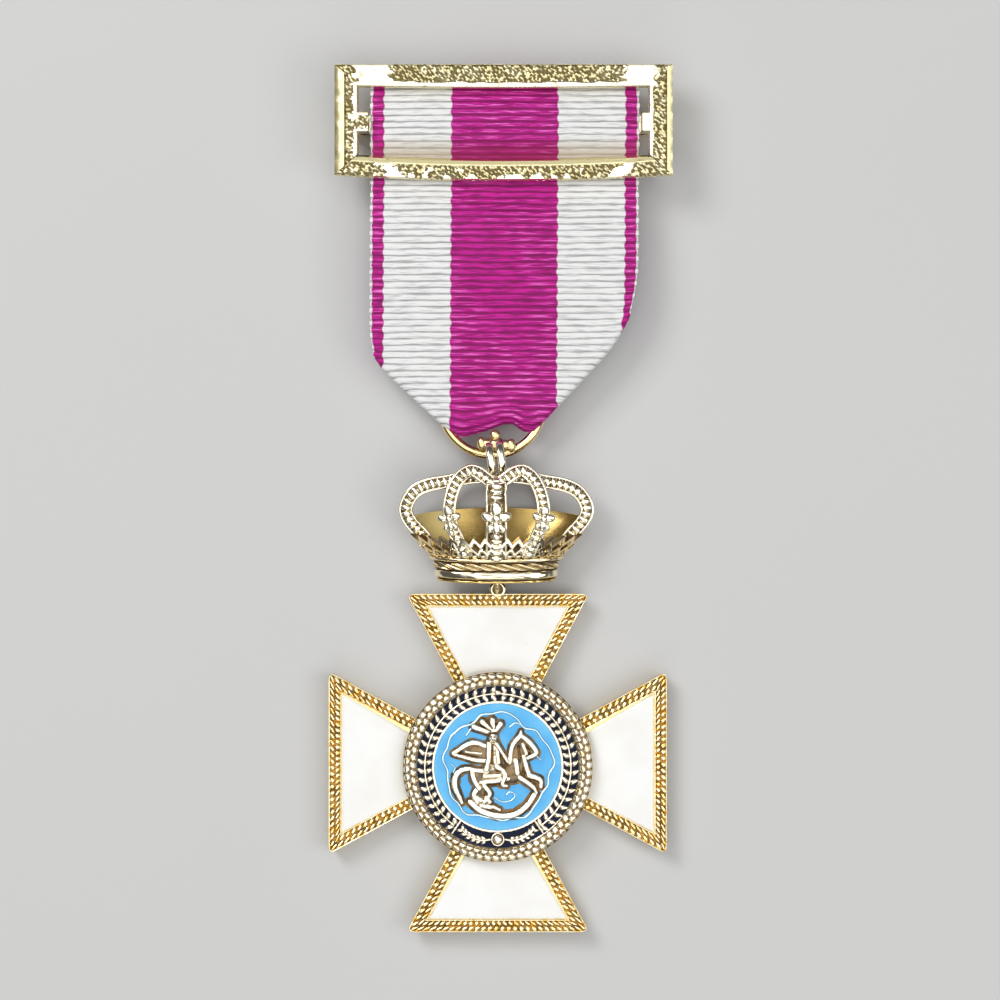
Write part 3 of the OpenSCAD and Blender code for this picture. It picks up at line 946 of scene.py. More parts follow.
span = cross_high[0] - cross_low[0]
cross_x = (cross_low[0] + cross_high[0]) / 2
cross_y = cross_low[1] + span / 2
border_z = cross_high[2]
border_width = 1.45
border_relief = 0.3
arm_edge = 20.6
arm_flare = 0.54
plate_z = border_z - 0.5
bed_z = plate_z - 0.5
hub_radius = 4.0
seat_radius = 10.2
eyelet_radius = 0.7
corner_reach = 1.0
eyelet_wire = 0.5
medallion_x = (medallion_low[0] + medallion_high[0]) / 2
medallion_y = (medallion_low[1] + medallion_high[1]) / 2
medallion_radius = (medallion_high[0] - medallion_low[0]) / 2


def arm_point(distance, inset, side):
    """A point on an arm's side, drawn in by an inset, for an arm that points up."""
    half = arm_edge / 2 - arm_flare * (span / 2 - distance) - inset * math.hypot(1, arm_flare)
    return np.stack([side * half, np.broadcast_to(distance, np.shape(half))], -1)


def seat_distance(inset, radius):
    """How far out an arm's side, drawn in by an inset, crosses a circle."""
    start = arm_edge / 2 - arm_flare * span / 2 - inset * math.hypot(1, arm_flare)
    a = 1 + arm_flare**2
    b = arm_flare * start
    return (-b + np.sqrt(b * b - a * (start**2 - radius**2))) / a


def quarter_turns(shape, turns):
    """A shape round the cross's middle, turned by some quarters, anticlockwise."""
    cosine, sine = ((1, 0), (0, 1), (-1, 0), (0, -1))[turns]

    def change(points):
        x, y, z = points.T
        return np.stack([x * cosine - y * sine, x * sine + y * cosine, z], 1)

    return moved(shape, change)


def in_cross(shape):
    """A shape that was built round the origin, put round the cross's middle."""
    return moved(shape, lambda points: points + (cross_x, cross_y, 0))


def border_side(start, end, insets, repeats):
    """One chased side of an arm's border. start and end give a point for each inset."""
    rows = repeats * 12
    t = np.linspace(0, 1, rows + 1)[:, None, None]
    plan = start + (end - start) * t
    across = np.broadcast_to(insets / border_width * 2 - 1, plan.shape[:2])
    u = np.broadcast_to(t[..., 0] * repeats, plan.shape[:2])
    grains = two_rows(u, across, 1.06, 0.38, 0.5, 0.36, 0.5)
    lips = np.clip(1.3 * np.exp(-(((np.abs(across) - 0.87) / 0.13) ** 2)), 0, 1)
    pattern = np.maximum(grains, lips)
    z = border_z - border_relief + border_relief * pattern
    z = z + 0.03 * uneven(plan[..., 0], plan[..., 1], 0.8, 61)
    hollow = (1 - pattern) ** 1.4
    z[:, 0] = plate_z - 0.1
    z[:, 1] = border_z - 0.28
    z[:, -2] = border_z - 0.2
    z[:, -1] = bed_z
    hollow[:, :2] = 0.5
    golden = np.zeros_like(z)
    golden[:, :2] = 0.6
    spotted = np.full_like(z, 0.8)
    spotted[:, :2] = 0
    return grid(np.dstack([plan, z]), marks=np.stack([hollow, golden, spotted], -1))


# How many pairs of grains run along an arm's side and along its edge
side_repeats, edge_repeats = 13, 27


def arm_border():
    """The chased border of an arm that points up: out along one side, over the edge and back."""
    columns = 27
    insets = np.concatenate([[0, 0], np.linspace(0.05, border_width - 0.05, columns), [border_width] * 2])
    seat = seat_distance(insets, seat_radius)
    edge = span / 2 - insets
    left_seat, left_corner = arm_point(seat, insets, -1), arm_point(edge, insets, -1)
    right_seat, right_corner = arm_point(seat, insets, 1), arm_point(edge, insets, 1)
    return joined(
        border_side(left_seat, left_corner, insets, side_repeats),
        border_side(left_corner, right_corner, insets, edge_repeats),
        border_side(right_corner, right_seat, insets, side_repeats),
    )


def cross_outline():
    """The plate's outline, anticlockwise: the four arms and the hub between them."""
    at_hub = seat_distance(np.array(0.0), hub_radius)
    arm = [arm_point(distance, 0.0, 1) for distance in (at_hub, span / 2)]
    arm += [arm_point(distance, 0.0, -1) for distance in (span / 2, at_hub)]
    points = []
    for angle in np.arange(4) * np.pi / 2:
        turn = np.array([[math.cos(angle), math.sin(angle)], [-math.sin(angle), math.cos(angle)]])
        points += [point @ turn for point in arm]
    return np.array(points)


def blunted(points):
    """Draws in the tips of an upward arm's corners, so that they are round."""
    points = points.copy()
    for side in (-1, 1):
        tip = arm_point(span / 2, 0.0, side)
        inwards = unit(np.array([-side * (1 + arm_flare * 0.5), -1.0]))
        away = (points[:, :2] - tip) @ inwards
        near = np.clip(corner_reach - away, 0, corner_reach) * (points[:, 0] * side > 0)
        points[:, :2] += (near**2 / (2.2 * corner_reach))[:, None] * inwards
    return points


def cross_shape():
    """The cross without its enamel."""
    plate = marked(slab(cross_outline(), cross_low[2], plate_z, 0.12), 0.15, 0.55)
    for _ in range(4):
        plate = quarter_turns(moved(plate, blunted), 1)
    arm = moved(arm_border(), blunted)
    borders = [quarter_turns(arm, turns) for turns in range(4)]
    half_wire = eyelet_wire / 2
    eyelet_place = (cross_x, cross_high[1] - half_wire - eyelet_radius, border_z - half_wire - 0.05)
    eyelet = wire_ring(eyelet_place, eyelet_radius, half_wire, 48, 14)
    return joined(in_cross(joined(plate, *borders)), eyelet)


def crowded(count):
    """Shares from 0 to 1 that crowd towards both ends."""
    turn = np.cos(np.pi * np.linspace(0, 1, count))
    return 0.5 - 0.5 * turn * (0.7 + 0.3 * np.abs(turn))


def arm_enamel(turns):
    """The enamel of one arm: a glossy field that sinks a little towards its edges."""
    inset = border_width + 0.05
    drop = cross_y - medallion_y
    seat_x, seat_y = ((0, -drop), (-drop, 0), (0, drop), (drop, 0))[turns]
    radius = medallion_radius - 0.3
    across, out = crowded(56), crowded(46)
    edge = span / 2 - inset
    low = seat_distance(np.array(inset), radius)
    start_angle = math.atan2(low, arm_point(low, inset, 1)[0])
    angle = np.pi - start_angle + (2 * start_angle - np.pi) * across
    inner = np.stack([seat_x + radius * np.cos(angle), seat_y + radius * np.sin(angle)], 1)
    left, right = arm_point(edge, inset, -1), arm_point(edge, inset, 1)
    outer = left + (right - left) * across[:, None]
    plan = inner[:, None] + (outer - inner)[:, None] * out[None, :, None]
    width = np.linalg.norm(right - left)
    depth = edge - low
    from_side = np.minimum(across, 1 - across)[:, None] * width * (0.6 + 0.4 * out)[None]
    from_end = np.minimum(out, 1 - out)[None] * depth
    away = np.minimum(from_side, from_end)
    top = arm_enamel_top + 0.03
    z = top - 0.16 * np.exp(-away / 0.22) + 0.012 * uneven(plan[..., 0], plan[..., 1], 3, 30 + turns)
    for rim in (z[0], z[-1], z[:, 0], z[:, -1]):
        rim[:] = bed_z
    # Painted shade: the white enamel is tinted cream-grey towards the medallion
    medallion_shade = np.exp(-np.broadcast_to(out[None] * depth, z.shape) / 0.9)
    return in_cross(quarter_turns(grid(np.dstack([plan, z]), marks=medallion_shade), turns))


# The medallion: its rope ring, its rims, the dark band and its ornament, the sky and the rider

base_z = medallion_low[2]
rope_width = 1.7
rope_path_radius = medallion_radius - rope_width / 2
rope_z = medallion_high[2] - rope_width / 2
sky_radius = (sky_high[0] - sky_low[0]) / 2 + 0.05
rim_width = 0.25
band_inner = sky_radius + rim_width
band_outer = medallion_radius - rope_width
enamel_z = sky_high[2]
enamel_floor = base_z + 0.9
ornament_z = enamel_z + 0.04
medallion_place = (medallion_x, medallion_y, 0)
bottom_arc = math.radians(35)


def medallion_shape():
    """The disc, the thin rim round the sky, and the ring chased as a plait of two wires."""
    disc = turned([(0, base_z, 0), (band_outer + 0.9, base_z, 0), (band_outer + 0.9, base_z + 0.4, 0.5),
                   (band_outer + 1.1, rope_z, 0.5)], medallion_place)
    floor = [(0, enamel_floor, 0.5), (band_outer, enamel_floor, 0.5)]
    lip = ((0, 0.1, 0.4), (0.03, 0.3, 0), (0.13, 0.36, 0), (0.22, 0.3, 0.2), (0.3, 0, 0.8))
    for out, up, hollow in lip:
        floor.append((band_outer + out, enamel_z + up, hollow))
    floor = turned(floor, medallion_place, 240)
    rim = turned([(sky_radius, enamel_z - 0.2, 0), (sky_radius, enamel_z + 0.12, 0),
                  (sky_radius + 0.05, enamel_z + 0.17, 0), (band_inner - 0.05, enamel_z + 0.17, 0),
                  (band_inner, enamel_z + 0.12, 0), (band_inner, enamel_z - 0.2, 0)], medallion_place, 240)
    repeats = 70
    rows = repeats * 16
    foot_reach = rope_width / 2 - 0.25
    path, outwards = flat_ring((medallion_x, medallion_y, rope_z), rope_path_radius, rows)
    turn = np.linspace(0, np.pi, 36)
    across = np.cos(turn)[None]
    u = (np.arange(rows) / rows * repeats)[:, None]
    pattern = two_rows(u, across, 1.04, 0.42, 0.52, 0.42, 0.45)
    height = (0.48 + 0.2 * pattern) * np.sqrt(1 - np.abs(across) ** 3) + 0.15
    section = np.stack(np.broadcast_arrays(across * (rope_width / 2 - 0.03), height), -1)
    outer_foot, inner_foot = (np.full((rows, 1, 2), (x, -0.5)) for x in (foot_reach, -foot_reach))
    section = np.concatenate([outer_foot, section, inner_foot], 1)
    chased = (1 - pattern) ** 1.4 * (1 - 0.65 * ease(0.86, 0.97, across))
    hollow = np.concatenate([np.full((rows, 1), 0.3), chased, np.ones((rows, 1))], 1)
    marks = np.stack([hollow, np.zeros_like(hollow), np.full_like(hollow, 0.5)], -1)
    marks[:, 0, 1:] = (0.5, 0)
    rope_ring = swept(path, section, outwards, closed=True, marks=marks)
    return joined(marked(disc, 0, 0.5), floor, rim, rope_ring)


def enamel_ring(inner, outer, low, high):
    """A ring of enamel that rises a little at its two edges."""
    radius = np.linspace(inner, outer, 12)
    edge = np.minimum(radius - inner, outer - radius)
    profile = [(inner, low, 0)]
    profile += [(r, high + 0.05 * math.exp(-e / 0.12), math.exp(-e / 0.3)) for r, e in zip(radius, edge)]
    profile.append((outer, low, 0))
    return turned(profile, medallion_place, 200)


def enamel_disc(radius, low, high):
    """A disc of enamel, a little domed."""
    profile = [(radius, low, 0)]
    for share in np.linspace(1, 0, 16):
        profile.append((radius * share, high + 0.06 * (1 - share**2), share**8))
    return turned(profile, medallion_place, 160)


def leaf(foot, way, length, width, height):
    """A small pointed leaf that lies flat, with a ridge along its middle."""
    way = unit(np.asarray(way, float))
    side = np.array([-way[1], way[0]])
    u = np.linspace(0, 1, 9)[:, None]
    v = np.linspace(-1, 1, 7)[None]
    half = width / 2 * np.sin(np.pi * u**0.8) ** 0.75
    plan = np.asarray(foot, float) + (u * length)[..., None] * way + (half * v)[..., None] * side
    swell = np.sin(np.pi * np.clip(u, 0.04, 0.96)) ** 0.5
    z = ornament_z - 0.1 + height * swell * (1 - v**6)
    return grid(np.dstack([plan, z]), marks=np.broadcast_to(v**8 * 0.8, z.shape))


def wire_along(path, radius, height=0.0):
    """A thin wire soldered flat along a path of x and y."""
    path = np.column_stack([path, np.full(len(path), ornament_z + height)])
    return swept(path, circle(radius, 10), (0, 0, 1))


def on_band(radius, turn):
    """A point of the band, with the turn measured clockwise from the top."""
    return np.array([medallion_x + radius * math.sin(turn), medallion_y + radius * math.cos(turn)])


def band_ornament():
    """Leaves in pairs round the band, and at its foot two bowed branches that meet at a bead."""
    middle = (band_inner + band_outer) / 2
    shapes = []
    free = np.pi - bottom_arc
    pairs = 42
    for i in range(pairs):
        turn = -free + (i + 0.6) * 2 * free / pairs
        towards = 1 if turn < 0 else -1
        ahead = unit(on_band(middle, turn + towards * 0.01) - on_band(middle, turn))
        out = on_band(middle + 1, turn) - on_band(middle, turn)
        for side in (-1, 1):
            foot = on_band(middle + side * 0.04, turn - towards * 0.045)
            shapes.append(leaf(foot, ahead * 0.6 + side * out * 0.85, 1.06, 0.6, 0.34))
    for side in (-1, 1):
        turns = np.linspace(0.02, free - 0.03, 90) * side
        stem = np.array([on_band(middle, turn) for turn in turns])
        shapes.append(wire_along(stem, 0.11, -0.03))
        bar_turn = side * (free + 0.01)
        bar = np.array([on_band(r, bar_turn) for r in np.linspace(band_inner - 0.05, band_outer + 0.05, 8)])
        shapes.append(wire_along(bar, 0.15))
        branch = []
        for share in np.linspace(0, 1, 40):
            turn = free + 0.07 + (np.pi - 0.17 - free) * share
            branch.append(on_band(middle - 0.15 + 0.42 * math.sin(np.pi * share * 0.9), side * turn))
        branch = np.array(branch)
        shapes.append(wire_along(branch, 0.15))
        for i in range(4, 36, 6):
            way = branch[i - 2] - branch[i + 2]
            across = np.array([-way[1], way[0]])
            for lean in (-1, 1):
                shapes.append(leaf(branch[i], way + lean * 0.8 * across, 0.75, 0.42, 0.26))
    bead = on_band(middle - 0.05, np.pi)
    shapes.append(beads([(*bead, ornament_z + 0.05)], (0.5, 0.5, 0.3)))
    shapes.append(wire_ring((*bead, ornament_z), 0.68, 0.1, 40, 8))
    shapes.append(beads([(*on_band(middle + 0.1, 0), ornament_z)], (0.35, 0.3, 0.3)))
    return joined(*shapes)


def sky_lines():
    """The wavy raised lines in the sky: one all round, and short curls inside it."""
    turn = np.linspace(0, 2 * np.pi, 260, endpoint=False)
    radius = 6.0 + 0.24 * np.sin(5 * turn + 0.6) + 0.12 * np.sin(11 * turn) + 0.08 * np.sin(17 * turn + 1)
    radius = radius - 0.45 * np.exp(-(((turn - 1.1) / 0.25) ** 2))
    outwards = np.column_stack([np.cos(turn), np.sin(turn), 0 * turn])
    path = (medallion_x, medallion_y, ornament_z + 0.04) + radius[:, None] * outwards
    shapes = [swept(path, circle(0.14, 10, 0.7), outwards, closed=True)]
    curls = (
        ((-3.6, 3.4), (-2.9, 4.3), (-1.9, 4.2), (-1.2, 5.0)),
        ((1.3, 4.4), (2.0, 4.9), (2.7, 4.6), (3.3, 4.1)),
        ((3.7, 2.9), (4.3, 2.2), (4.2, 1.4), (4.9, 0.7)),
        ((-0.4, -3.4), (0.5, -3.9), (1.6, -3.7), (1.9, -3.1), (1.4, -2.8), (0.9, -3.2)),
        ((-5.2, 0.3), (-4.8, -0.1), (-5.0, -0.7)),
    )
    for curl in curls:
        path = smooth_curve(np.array(curl) + (medallion_x, medallion_y), 10)
        shapes.append(wire_along(path, 0.12))
    return joined(*shapes)


# The rider's relief, as tapered strokes: x and y and half width at both ends, and the height
masses = (
    (-2.1, -1.2, 1.0, 1.7, -0.8, 1.0, 0.36),
    (1.9, -0.3, 1.0, 2.6, 2.4, 0.8, 0.36),
    (2.7, 2.8, 0.6, 4.1, 1.5, 0.35, 0.36),
    (-1.9, -1.8, 0.8, -2.0, -3.4, 0.5, 0.34),
    (-0.7, 0.0, 0.7, -0.5, 2.5, 0.7, 0.42),
    (-1.4, 1.6, 0.9, -3.6, 1.9, 0.6, 0.34),
    (-0.8, 4.0, 0.5, -1.0, 4.8, 0.6, 0.4),
    (-2.3, -3.3, 0.6, -1.2, -4.3, 0.6, 0.34),
)
horse = (
    (-2.9, -0.3, 0.3, -1.2, -0.5, 0.3, 0.6),
    (-2.9, -0.3, 0.32, -2.7, -1.3, 0.32, 0.62),
    (-2.7, -1.3, 0.32, -2.1, -2.4, 0.32, 0.62),
    (-1.9, -1.7, 0.24, -0.2, -1.55, 0.3, 0.6),
    (-0.2, -1.55, 0.3, 1.2, -1.3, 0.26, 0.6),
    (-1.5, -1.0, 0.26, 0.2, -0.95, 0.26, 0.58),
    (-2.2, -2.3, 0.34, -2.7, -3.2, 0.28, 0.55),
    (-2.7, -3.2, 0.26, -2.3, -4.0, 0.26, 0.5),
    (-1.5, -2.1, 0.32, -0.9, -3.0, 0.28, 0.55),
    (-0.9, -3.0, 0.26, -1.5, -3.9, 0.24, 0.5),
    (-2.9, -0.2, 0.3, -3.9, -0.3, 0.32, 0.55),
    (-3.9, -0.3, 0.32, -4.7, -1.0, 0.34, 0.55),
    (-4.7, -1.0, 0.34, -4.8, -2.2, 0.36, 0.55),
    (-4.8, -2.2, 0.36, -4.0, -4.0, 0.22, 0.45),
    (1.3, 0.5, 0.28, 1.6, 2.3, 0.28, 0.6),
    (1.6, 2.3, 0.28, 2.5, 3.5, 0.26, 0.6),
    (2.4, 3.4, 0.24, 2.6, 4.0, 0.14, 0.5),
    (2.6, 3.5, 0.26, 3.5, 2.8, 0.32, 0.62),
    (3.5, 2.8, 0.32, 4.3, 1.6, 0.3, 0.6),
    (4.3, 1.5, 0.26, 3.4, 1.0, 0.22, 0.5),
    (3.2, 1.5, 0.22, 2.8, 2.5, 0.24, 0.56),
    (2.9, 1.2, 0.28, 3.2, 0.0, 0.3, 0.6),
    (3.2, 0.0, 0.3, 3.5, -0.9, 0.34, 0.62),
    (2.0, 0.8, 0.3, 2.2, -0.7, 0.34, 0.62),
    (3.4, -0.9, 0.36, 4.7, -1.4, 0.3, 0.56),
    (4.7, -1.4, 0.3, 4.8, -2.2, 0.24, 0.5),
    (2.5, -1.2, 0.34, 3.9, -2.2, 0.28, 0.54),
    (3.9, -2.2, 0.26, 4.3, -2.9, 0.2, 0.46),
)
rider = (
    (-1.0, 2.6, 0.32, -1.05, 0.9, 0.32, 0.8),
    (-1.05, 0.9, 0.32, -1.3, -0.3, 0.34, 0.72),
    (-0.15, 2.6, 0.26, 0.45, 1.7, 0.22, 0.85),
    (0.45, 1.7, 0.22, 1.1, 0.6, 0.2, 0.8),
    (-0.1, 1.9, 0.24, 0.1, 0.5, 0.24, 0.66),
    (-0.55, 3.2, 0.5, -0.5, 3.4, 0.46, 0.95),
    (-0.53, 3.42, 0.07, -0.53, 3.18, 0.12, 1.03),
    (-0.1, 0.1, 0.38, 0.8, -0.8, 0.34, 0.85),
    (0.8, -0.8, 0.32, 0.5, -1.9, 0.26, 0.75),
    (0.4, -2.0, 0.24, 1.0, -2.1, 0.2, 0.65),
    (-0.8, 3.8, 0.28, -2.7, 4.5, 0.36, 0.7),
    (-0.8, 4.1, 0.28, -1.7, 5.0, 0.38, 0.74),
    (-0.5, 4.1, 0.28, -0.6, 5.2, 0.36, 0.74),
    (-0.3, 4.0, 0.28, 0.3, 4.8, 0.34, 0.7),
    (-1.2, 2.3, 0.3, -2.9, 2.7, 0.32, 0.62),
    (-2.9, 2.7, 0.32, -5.0, 1.5, 0.22, 0.55),
    (-1.3, 0.7, 0.3, -2.6, 0.8, 0.28, 0.58),
    (-2.6, 0.8, 0.28, -4.9, 1.4, 0.2, 0.5),
    (-1.9, 1.5, 0.14, -3.6, 1.7, 0.12, 0.46),
)
ground = (
    (-3.1, -3.9, 0.36, -1.9, -4.9, 0.4, 0.46),
    (-1.9, -4.9, 0.4, 0.0, -5.45, 0.4, 0.46),
    (0.0, -5.45, 0.4, 1.9, -5.3, 0.38, 0.46),
    (1.9, -5.3, 0.38, 3.2, -4.4, 0.36, 0.46),
    (3.2, -4.4, 0.36, 4.1, -3.1, 0.32, 0.44),
    (-2.4, -3.4, 0.3, -1.9, -3.7, 0.3, 0.5),
    (-1.3, -3.4, 0.26, -0.9, -3.9, 0.26, 0.5),
    (-1.9, -4.3, 0.26, -0.8, -4.5, 0.3, 0.5),
    (-0.6, -4.4, 0.22, 0.2, -4.8, 0.22, 0.44),
)
cuts = (
    (-0.6, 0.4, 0.14, -0.55, 2.5, 0.1, 0.3),
    (-0.75, 4.0, 0.06, -2.1, 4.8, 0.1, 0.24),
    (-0.6, 4.3, 0.06, -1.1, 5.1, 0.1, 0.24),
    (-0.3, 4.3, 0.06, -0.1, 5.1, 0.1, 0.24),
    (-1.0, 3.75, 0.1, 0.2, 3.85, 0.08, 0.3),
    (-0.1, -0.4, 0.16, 0.3, -0.5, 0.1, 0.24),
    (2.5, 0.6, 0.12, 2.3, 2.3, 0.14, 0.26),
    (3.2, 2.2, 0.07, 3.6, 1.9, 0.07, 0.3),
    (-0.77, 3.4, 0.06, -0.66, 3.4, 0.06, 0.14),
    (-0.4, 3.4, 0.06, -0.29, 3.4, 0.06, 0.14),
    (-0.65, 3.03, 0.05, -0.41, 3.03, 0.05, 0.12),
)
shade_margin_width = 0.22
ridge_width = 0.04
relief_pitch = 0.052
relief_floor = 0.14


def bowed(strokes):
    """The strokes, with those that run on from each other bent into smooth curves."""
    chains = []
    for x1, y1, r1, x2, y2, r2, height in strokes:
        if chains and math.hypot(chains[-1][-1][0] - x1, chains[-1][-1][1] - y1) < 0.15:
            chains[-1].append((x2, y2, r2, height))
        else:
            chains.append([(x1, y1, r1, height), (x2, y2, r2, height)])
    result = []
    for chain in chains:
        curve = smooth_curve(chain, 5) if len(chain) > 2 else np.array(chain)
        result += [(*a[:3], *b[:3], (a[3] + b[3]) / 2) for a, b in zip(curve[:-1], curve[1:])]
    return result


def strokes_height(x, y, strokes, wider=0.0):
    """How high the strokes stand at each point."""
    highest = np.zeros_like(x)
    for x1, y1, r1, x2, y2, r2, height in strokes:
        along_x, along_y = x2 - x1, y2 - y1
        t = np.clip(((x - x1) * along_x + (y - y1) * along_y) / (along_x**2 + along_y**2), 0, 1)
        away = np.hypot(x - x1 - t * along_x, y - y1 - t * along_y) / (r1 + (r2 - r1) * t + wider)
        highest = np.maximum(highest, height * np.sqrt(np.clip(1.5 * (1 - away**2), 0, 1)))
    return highest


def rider_shape():
    """The relief: low masses, with the ridges of the ground, the rearing horse and the rider on them."""
    xs, ys = np.arange(-5.7, 5.7, relief_pitch), np.arange(-6.2, 5.9, relief_pitch)
    x, y = np.meshgrid(xs, ys, indexing="ij")
    height = strokes_height(x, y, masses)
    for ridges in (ground, horse, rider):
        height = np.maximum(height, strokes_height(x, y, bowed(ridges), ridge_width))
    grainy = ease(0.2, 0.5, height)
    height = height + (0.02 * uneven(x, y, 0.22, 17) + 0.03 * uneven(x, y, 0.5, 18)) * grainy
    cut = strokes_height(x, y, cuts)
    shown = height - cut
    # The low masses, a margin of low ground round the figure and the cuts are painted brown, as shade round
    # and between the raised strokes
    footing = strokes_height(x, y, masses + horse + rider + ground, shade_margin_width) > 0
    z = ornament_z + 0.03 + np.clip(shown - relief_floor, 0, None)
    hollow = np.clip(0.85 * ease(0.46, 0.38, shown) + 0.15 * ease(0.3, 0.2, shown), 0, 1)
    hollow = np.maximum(hollow, ease(0.02, 0.12, cut))
    surface = grid(np.stack([x + medallion_x, y + medallion_y, z], -1), marks=hollow)
    kept = footing.ravel()
    surface.faces = [face for face in surface.faces if kept[face].any()]
    return without_loose(surface)


def without_loose(shape):
    """The shape without the points that no face uses."""
    used = np.unique(np.array(shape.faces))
    number = np.full(len(shape.points), -1)
    number[used] = np.arange(len(used))
    faces = number[np.array(shape.faces)].tolist()
    return Shape(shape.points[used], faces, shape.marks[used])


# The crown, standing on its band and facing -Y, then laid on its back

crown_width = crown_high[0] - crown_low[0]
crown_depth = 8.8
crown_height = 12.8
crown_flat = crown_depth / crown_width
crown_tilt = math.radians(8)
crown_x = (crown_low[0] + crown_high[0]) / 2
crown_foot_gap = 1.5
crown_y = cross_y + span / 2 + crown_foot_gap
crown_z = 3.27
band_height = 2.9
back_wall_height = 7.7
front_wall_height = 5.4
leaf_height = 0.8
low_leaf_z = 3.3
wall_inner = -0.75
arch_thick = 0.6
back_arch_thick = 0.4
lip_thick = 0.3
pearl_pitch = 0.7

# The outer lines of the crown and of its side arches, from the band up and over to the middle: shares of
# the half width and of the height
lower_line = [(0.59, 0.00), (0.66, 0.20), (0.81, 0.36), (0.95, 0.50), (1.00, 0.62)]
upper_line = [(0.965, 0.76), (0.86, 0.88), (0.70, 0.965), (0.52, 1.00), (0.35, 0.985), (0.20, 0.94),
              (0.08, 0.90)]
upper_side = [(0.96, 0.74), (0.86, 0.84), (0.70, 0.90), (0.50, 0.93), (0.30, 0.965), (0.08, 0.98)]
crown_line = smooth_curve(lower_line + upper_line, 10)
side_line = smooth_curve(lower_line + upper_side, 10)
rising = crown_line[: crown_line[:, 1].argmax()]

# The arches: angle from the front, share of the height, width, and the size of the floret on its foot
arches = [(0, 0.90, 2.3, 1.2)]
for angle, *sizes in ((31, 1.025, 1.4, 0.95), (90, 1.0, 1.5, 0), (150, 0.93, 1.1, 0)):
    arches += [(angle, *sizes), (-angle, *sizes)]
arches.append((180, 0.88, 1.1, 0))


def laid_back(points):
    """From the standing crown to its place on its back."""
    x, y, z = points.T
    cosine, sine = math.cos(crown_tilt), math.sin(crown_tilt)
    return np.stack([crown_x + x, crown_y + y * sine + z * cosine, crown_z - y * cosine + z * sine], 1)


def crown_share(height):
    """The crown's half width at a height, as a share of its widest."""
    return np.interp(height, rising[:, 1] * crown_height, rising[:, 0])


def oval(turn, share, height, out=0.0):
    """A point on the crown's oval, with a turn from the front, moved outwards."""
    half = crown_width / 2
    x = half * share * np.sin(turn)
    y = -half * share * crown_flat * np.cos(turn)
    normal = unit(np.stack([np.sin(turn) * crown_flat, -np.cos(turn)], -1))
    x, y, height = np.broadcast_arrays(x + out * normal[..., 0], y + out * normal[..., 1], height)
    return np.stack([x, y, height], -1)


def oval_turns(count):
    """Turns round the crown's oval that are evenly spaced along it."""
    turn = np.linspace(-np.pi, np.pi, 2000)
    reach = np.hypot(np.cos(turn), crown_flat * np.sin(turn))
    reach = np.concatenate([[0], np.cumsum((reach[1:] + reach[:-1]) / 2)])
    return np.interp(np.linspace(0, reach[-1], count, endpoint=False), reach, turn)


def crown_wall():
    """The wall above the band: a row of leaves, low and pointed in front, plain and high behind."""
    leaves = 34
    per_leaf = 14
    turn = oval_turns(leaves * per_leaf)[:, None]
    leaf_place = (np.arange(leaves * per_leaf) / per_leaf)[:, None]
    behind = ease(0.1, -0.15, np.cos(turn))
    up = np.linspace(0, 1, 34)[None]
    down = np.linspace(1, 0, 8)[None]
    peak = 1 - 2 * np.abs((leaf_place + 0.5) % 1 - 0.5)
    rear = back_wall_height - 0.7 * np.sin(turn) ** 2
    front = front_wall_height - leaf_height + leaf_height * peak
    top = front * (1 - behind) + rear * behind
    foot = band_height - 0.3
    height = foot + (top - foot) * up
    leaning = leaf_place + 0.5 * (1 - up) * np.sin(turn)
    low_peak = 1 - 2 * np.abs(leaning % 1 - 0.5)
    upper = np.exp(-(((height - top + 0.33) / 0.35) ** 2))
    lower = np.exp(-(((height - low_leaf_z - 0.65 * low_peak) / 0.31) ** 2))
    between_leaves = 0.75 * ease(0.5, 0.2, np.abs(leaning % 1 - 0.5)) * ease(foot, foot + 0.5, height)
    blade = np.maximum(np.maximum(upper, lower) * 1.8, between_leaves * (height < low_leaf_z))
    blade = np.clip(blade, 0, 1)
    outer = oval(turn, crown_share(height), height, 0.55 * blade * (1 - behind) - 0.2)
    height = foot + (top - foot) * down
    inner = oval(turn, crown_share(height), height, wall_inner)
    # Painted shade between the leaves in front. Inside, the wall is painted darker as shade, except on its
    # left, which is painted lighter and a matt bright yellow, as if lit
    hollow = ease(0.7, 0.2, blade) * (1 - behind)
    hollow = np.concatenate([hollow, 0.5 - 0.5 * ease(-0.5, -0.75, np.sin(turn)) + 0 * down], 1)
    golden = 0.85 + 0.15 * ease(-0.35, -0.7, np.sin(turn)) * ease(band_height, band_height + 1.2, height)
    outside = 0 * up + 0.3 * behind + 0.5 * ease(0.4, 0.85, np.abs(np.sin(turn))) * (1 - behind)
    golden = np.concatenate([outside, golden], 1)
    return grid(np.concatenate([outer, inner], 1), True, True, np.stack([hollow, golden], -1))


# The mouldings round the band: height, how far out, thickness, how tall, pattern and its repeats, and
# how hollow and golden they are at least
mouldings = (
    (0.2, -0.15, 0.3, 0.3, None, 1, 0.4, 0.8),
    (0.92, -0.15, 0.42, 0.95, None, 1, 0, 0.15),
    (1.9, -0.22, 0.42, 0.85, rope, 18, 0, 0.35),
    (2.68, -0.12, 0.42, 0.46, None, 1, 0, 0.35),
)


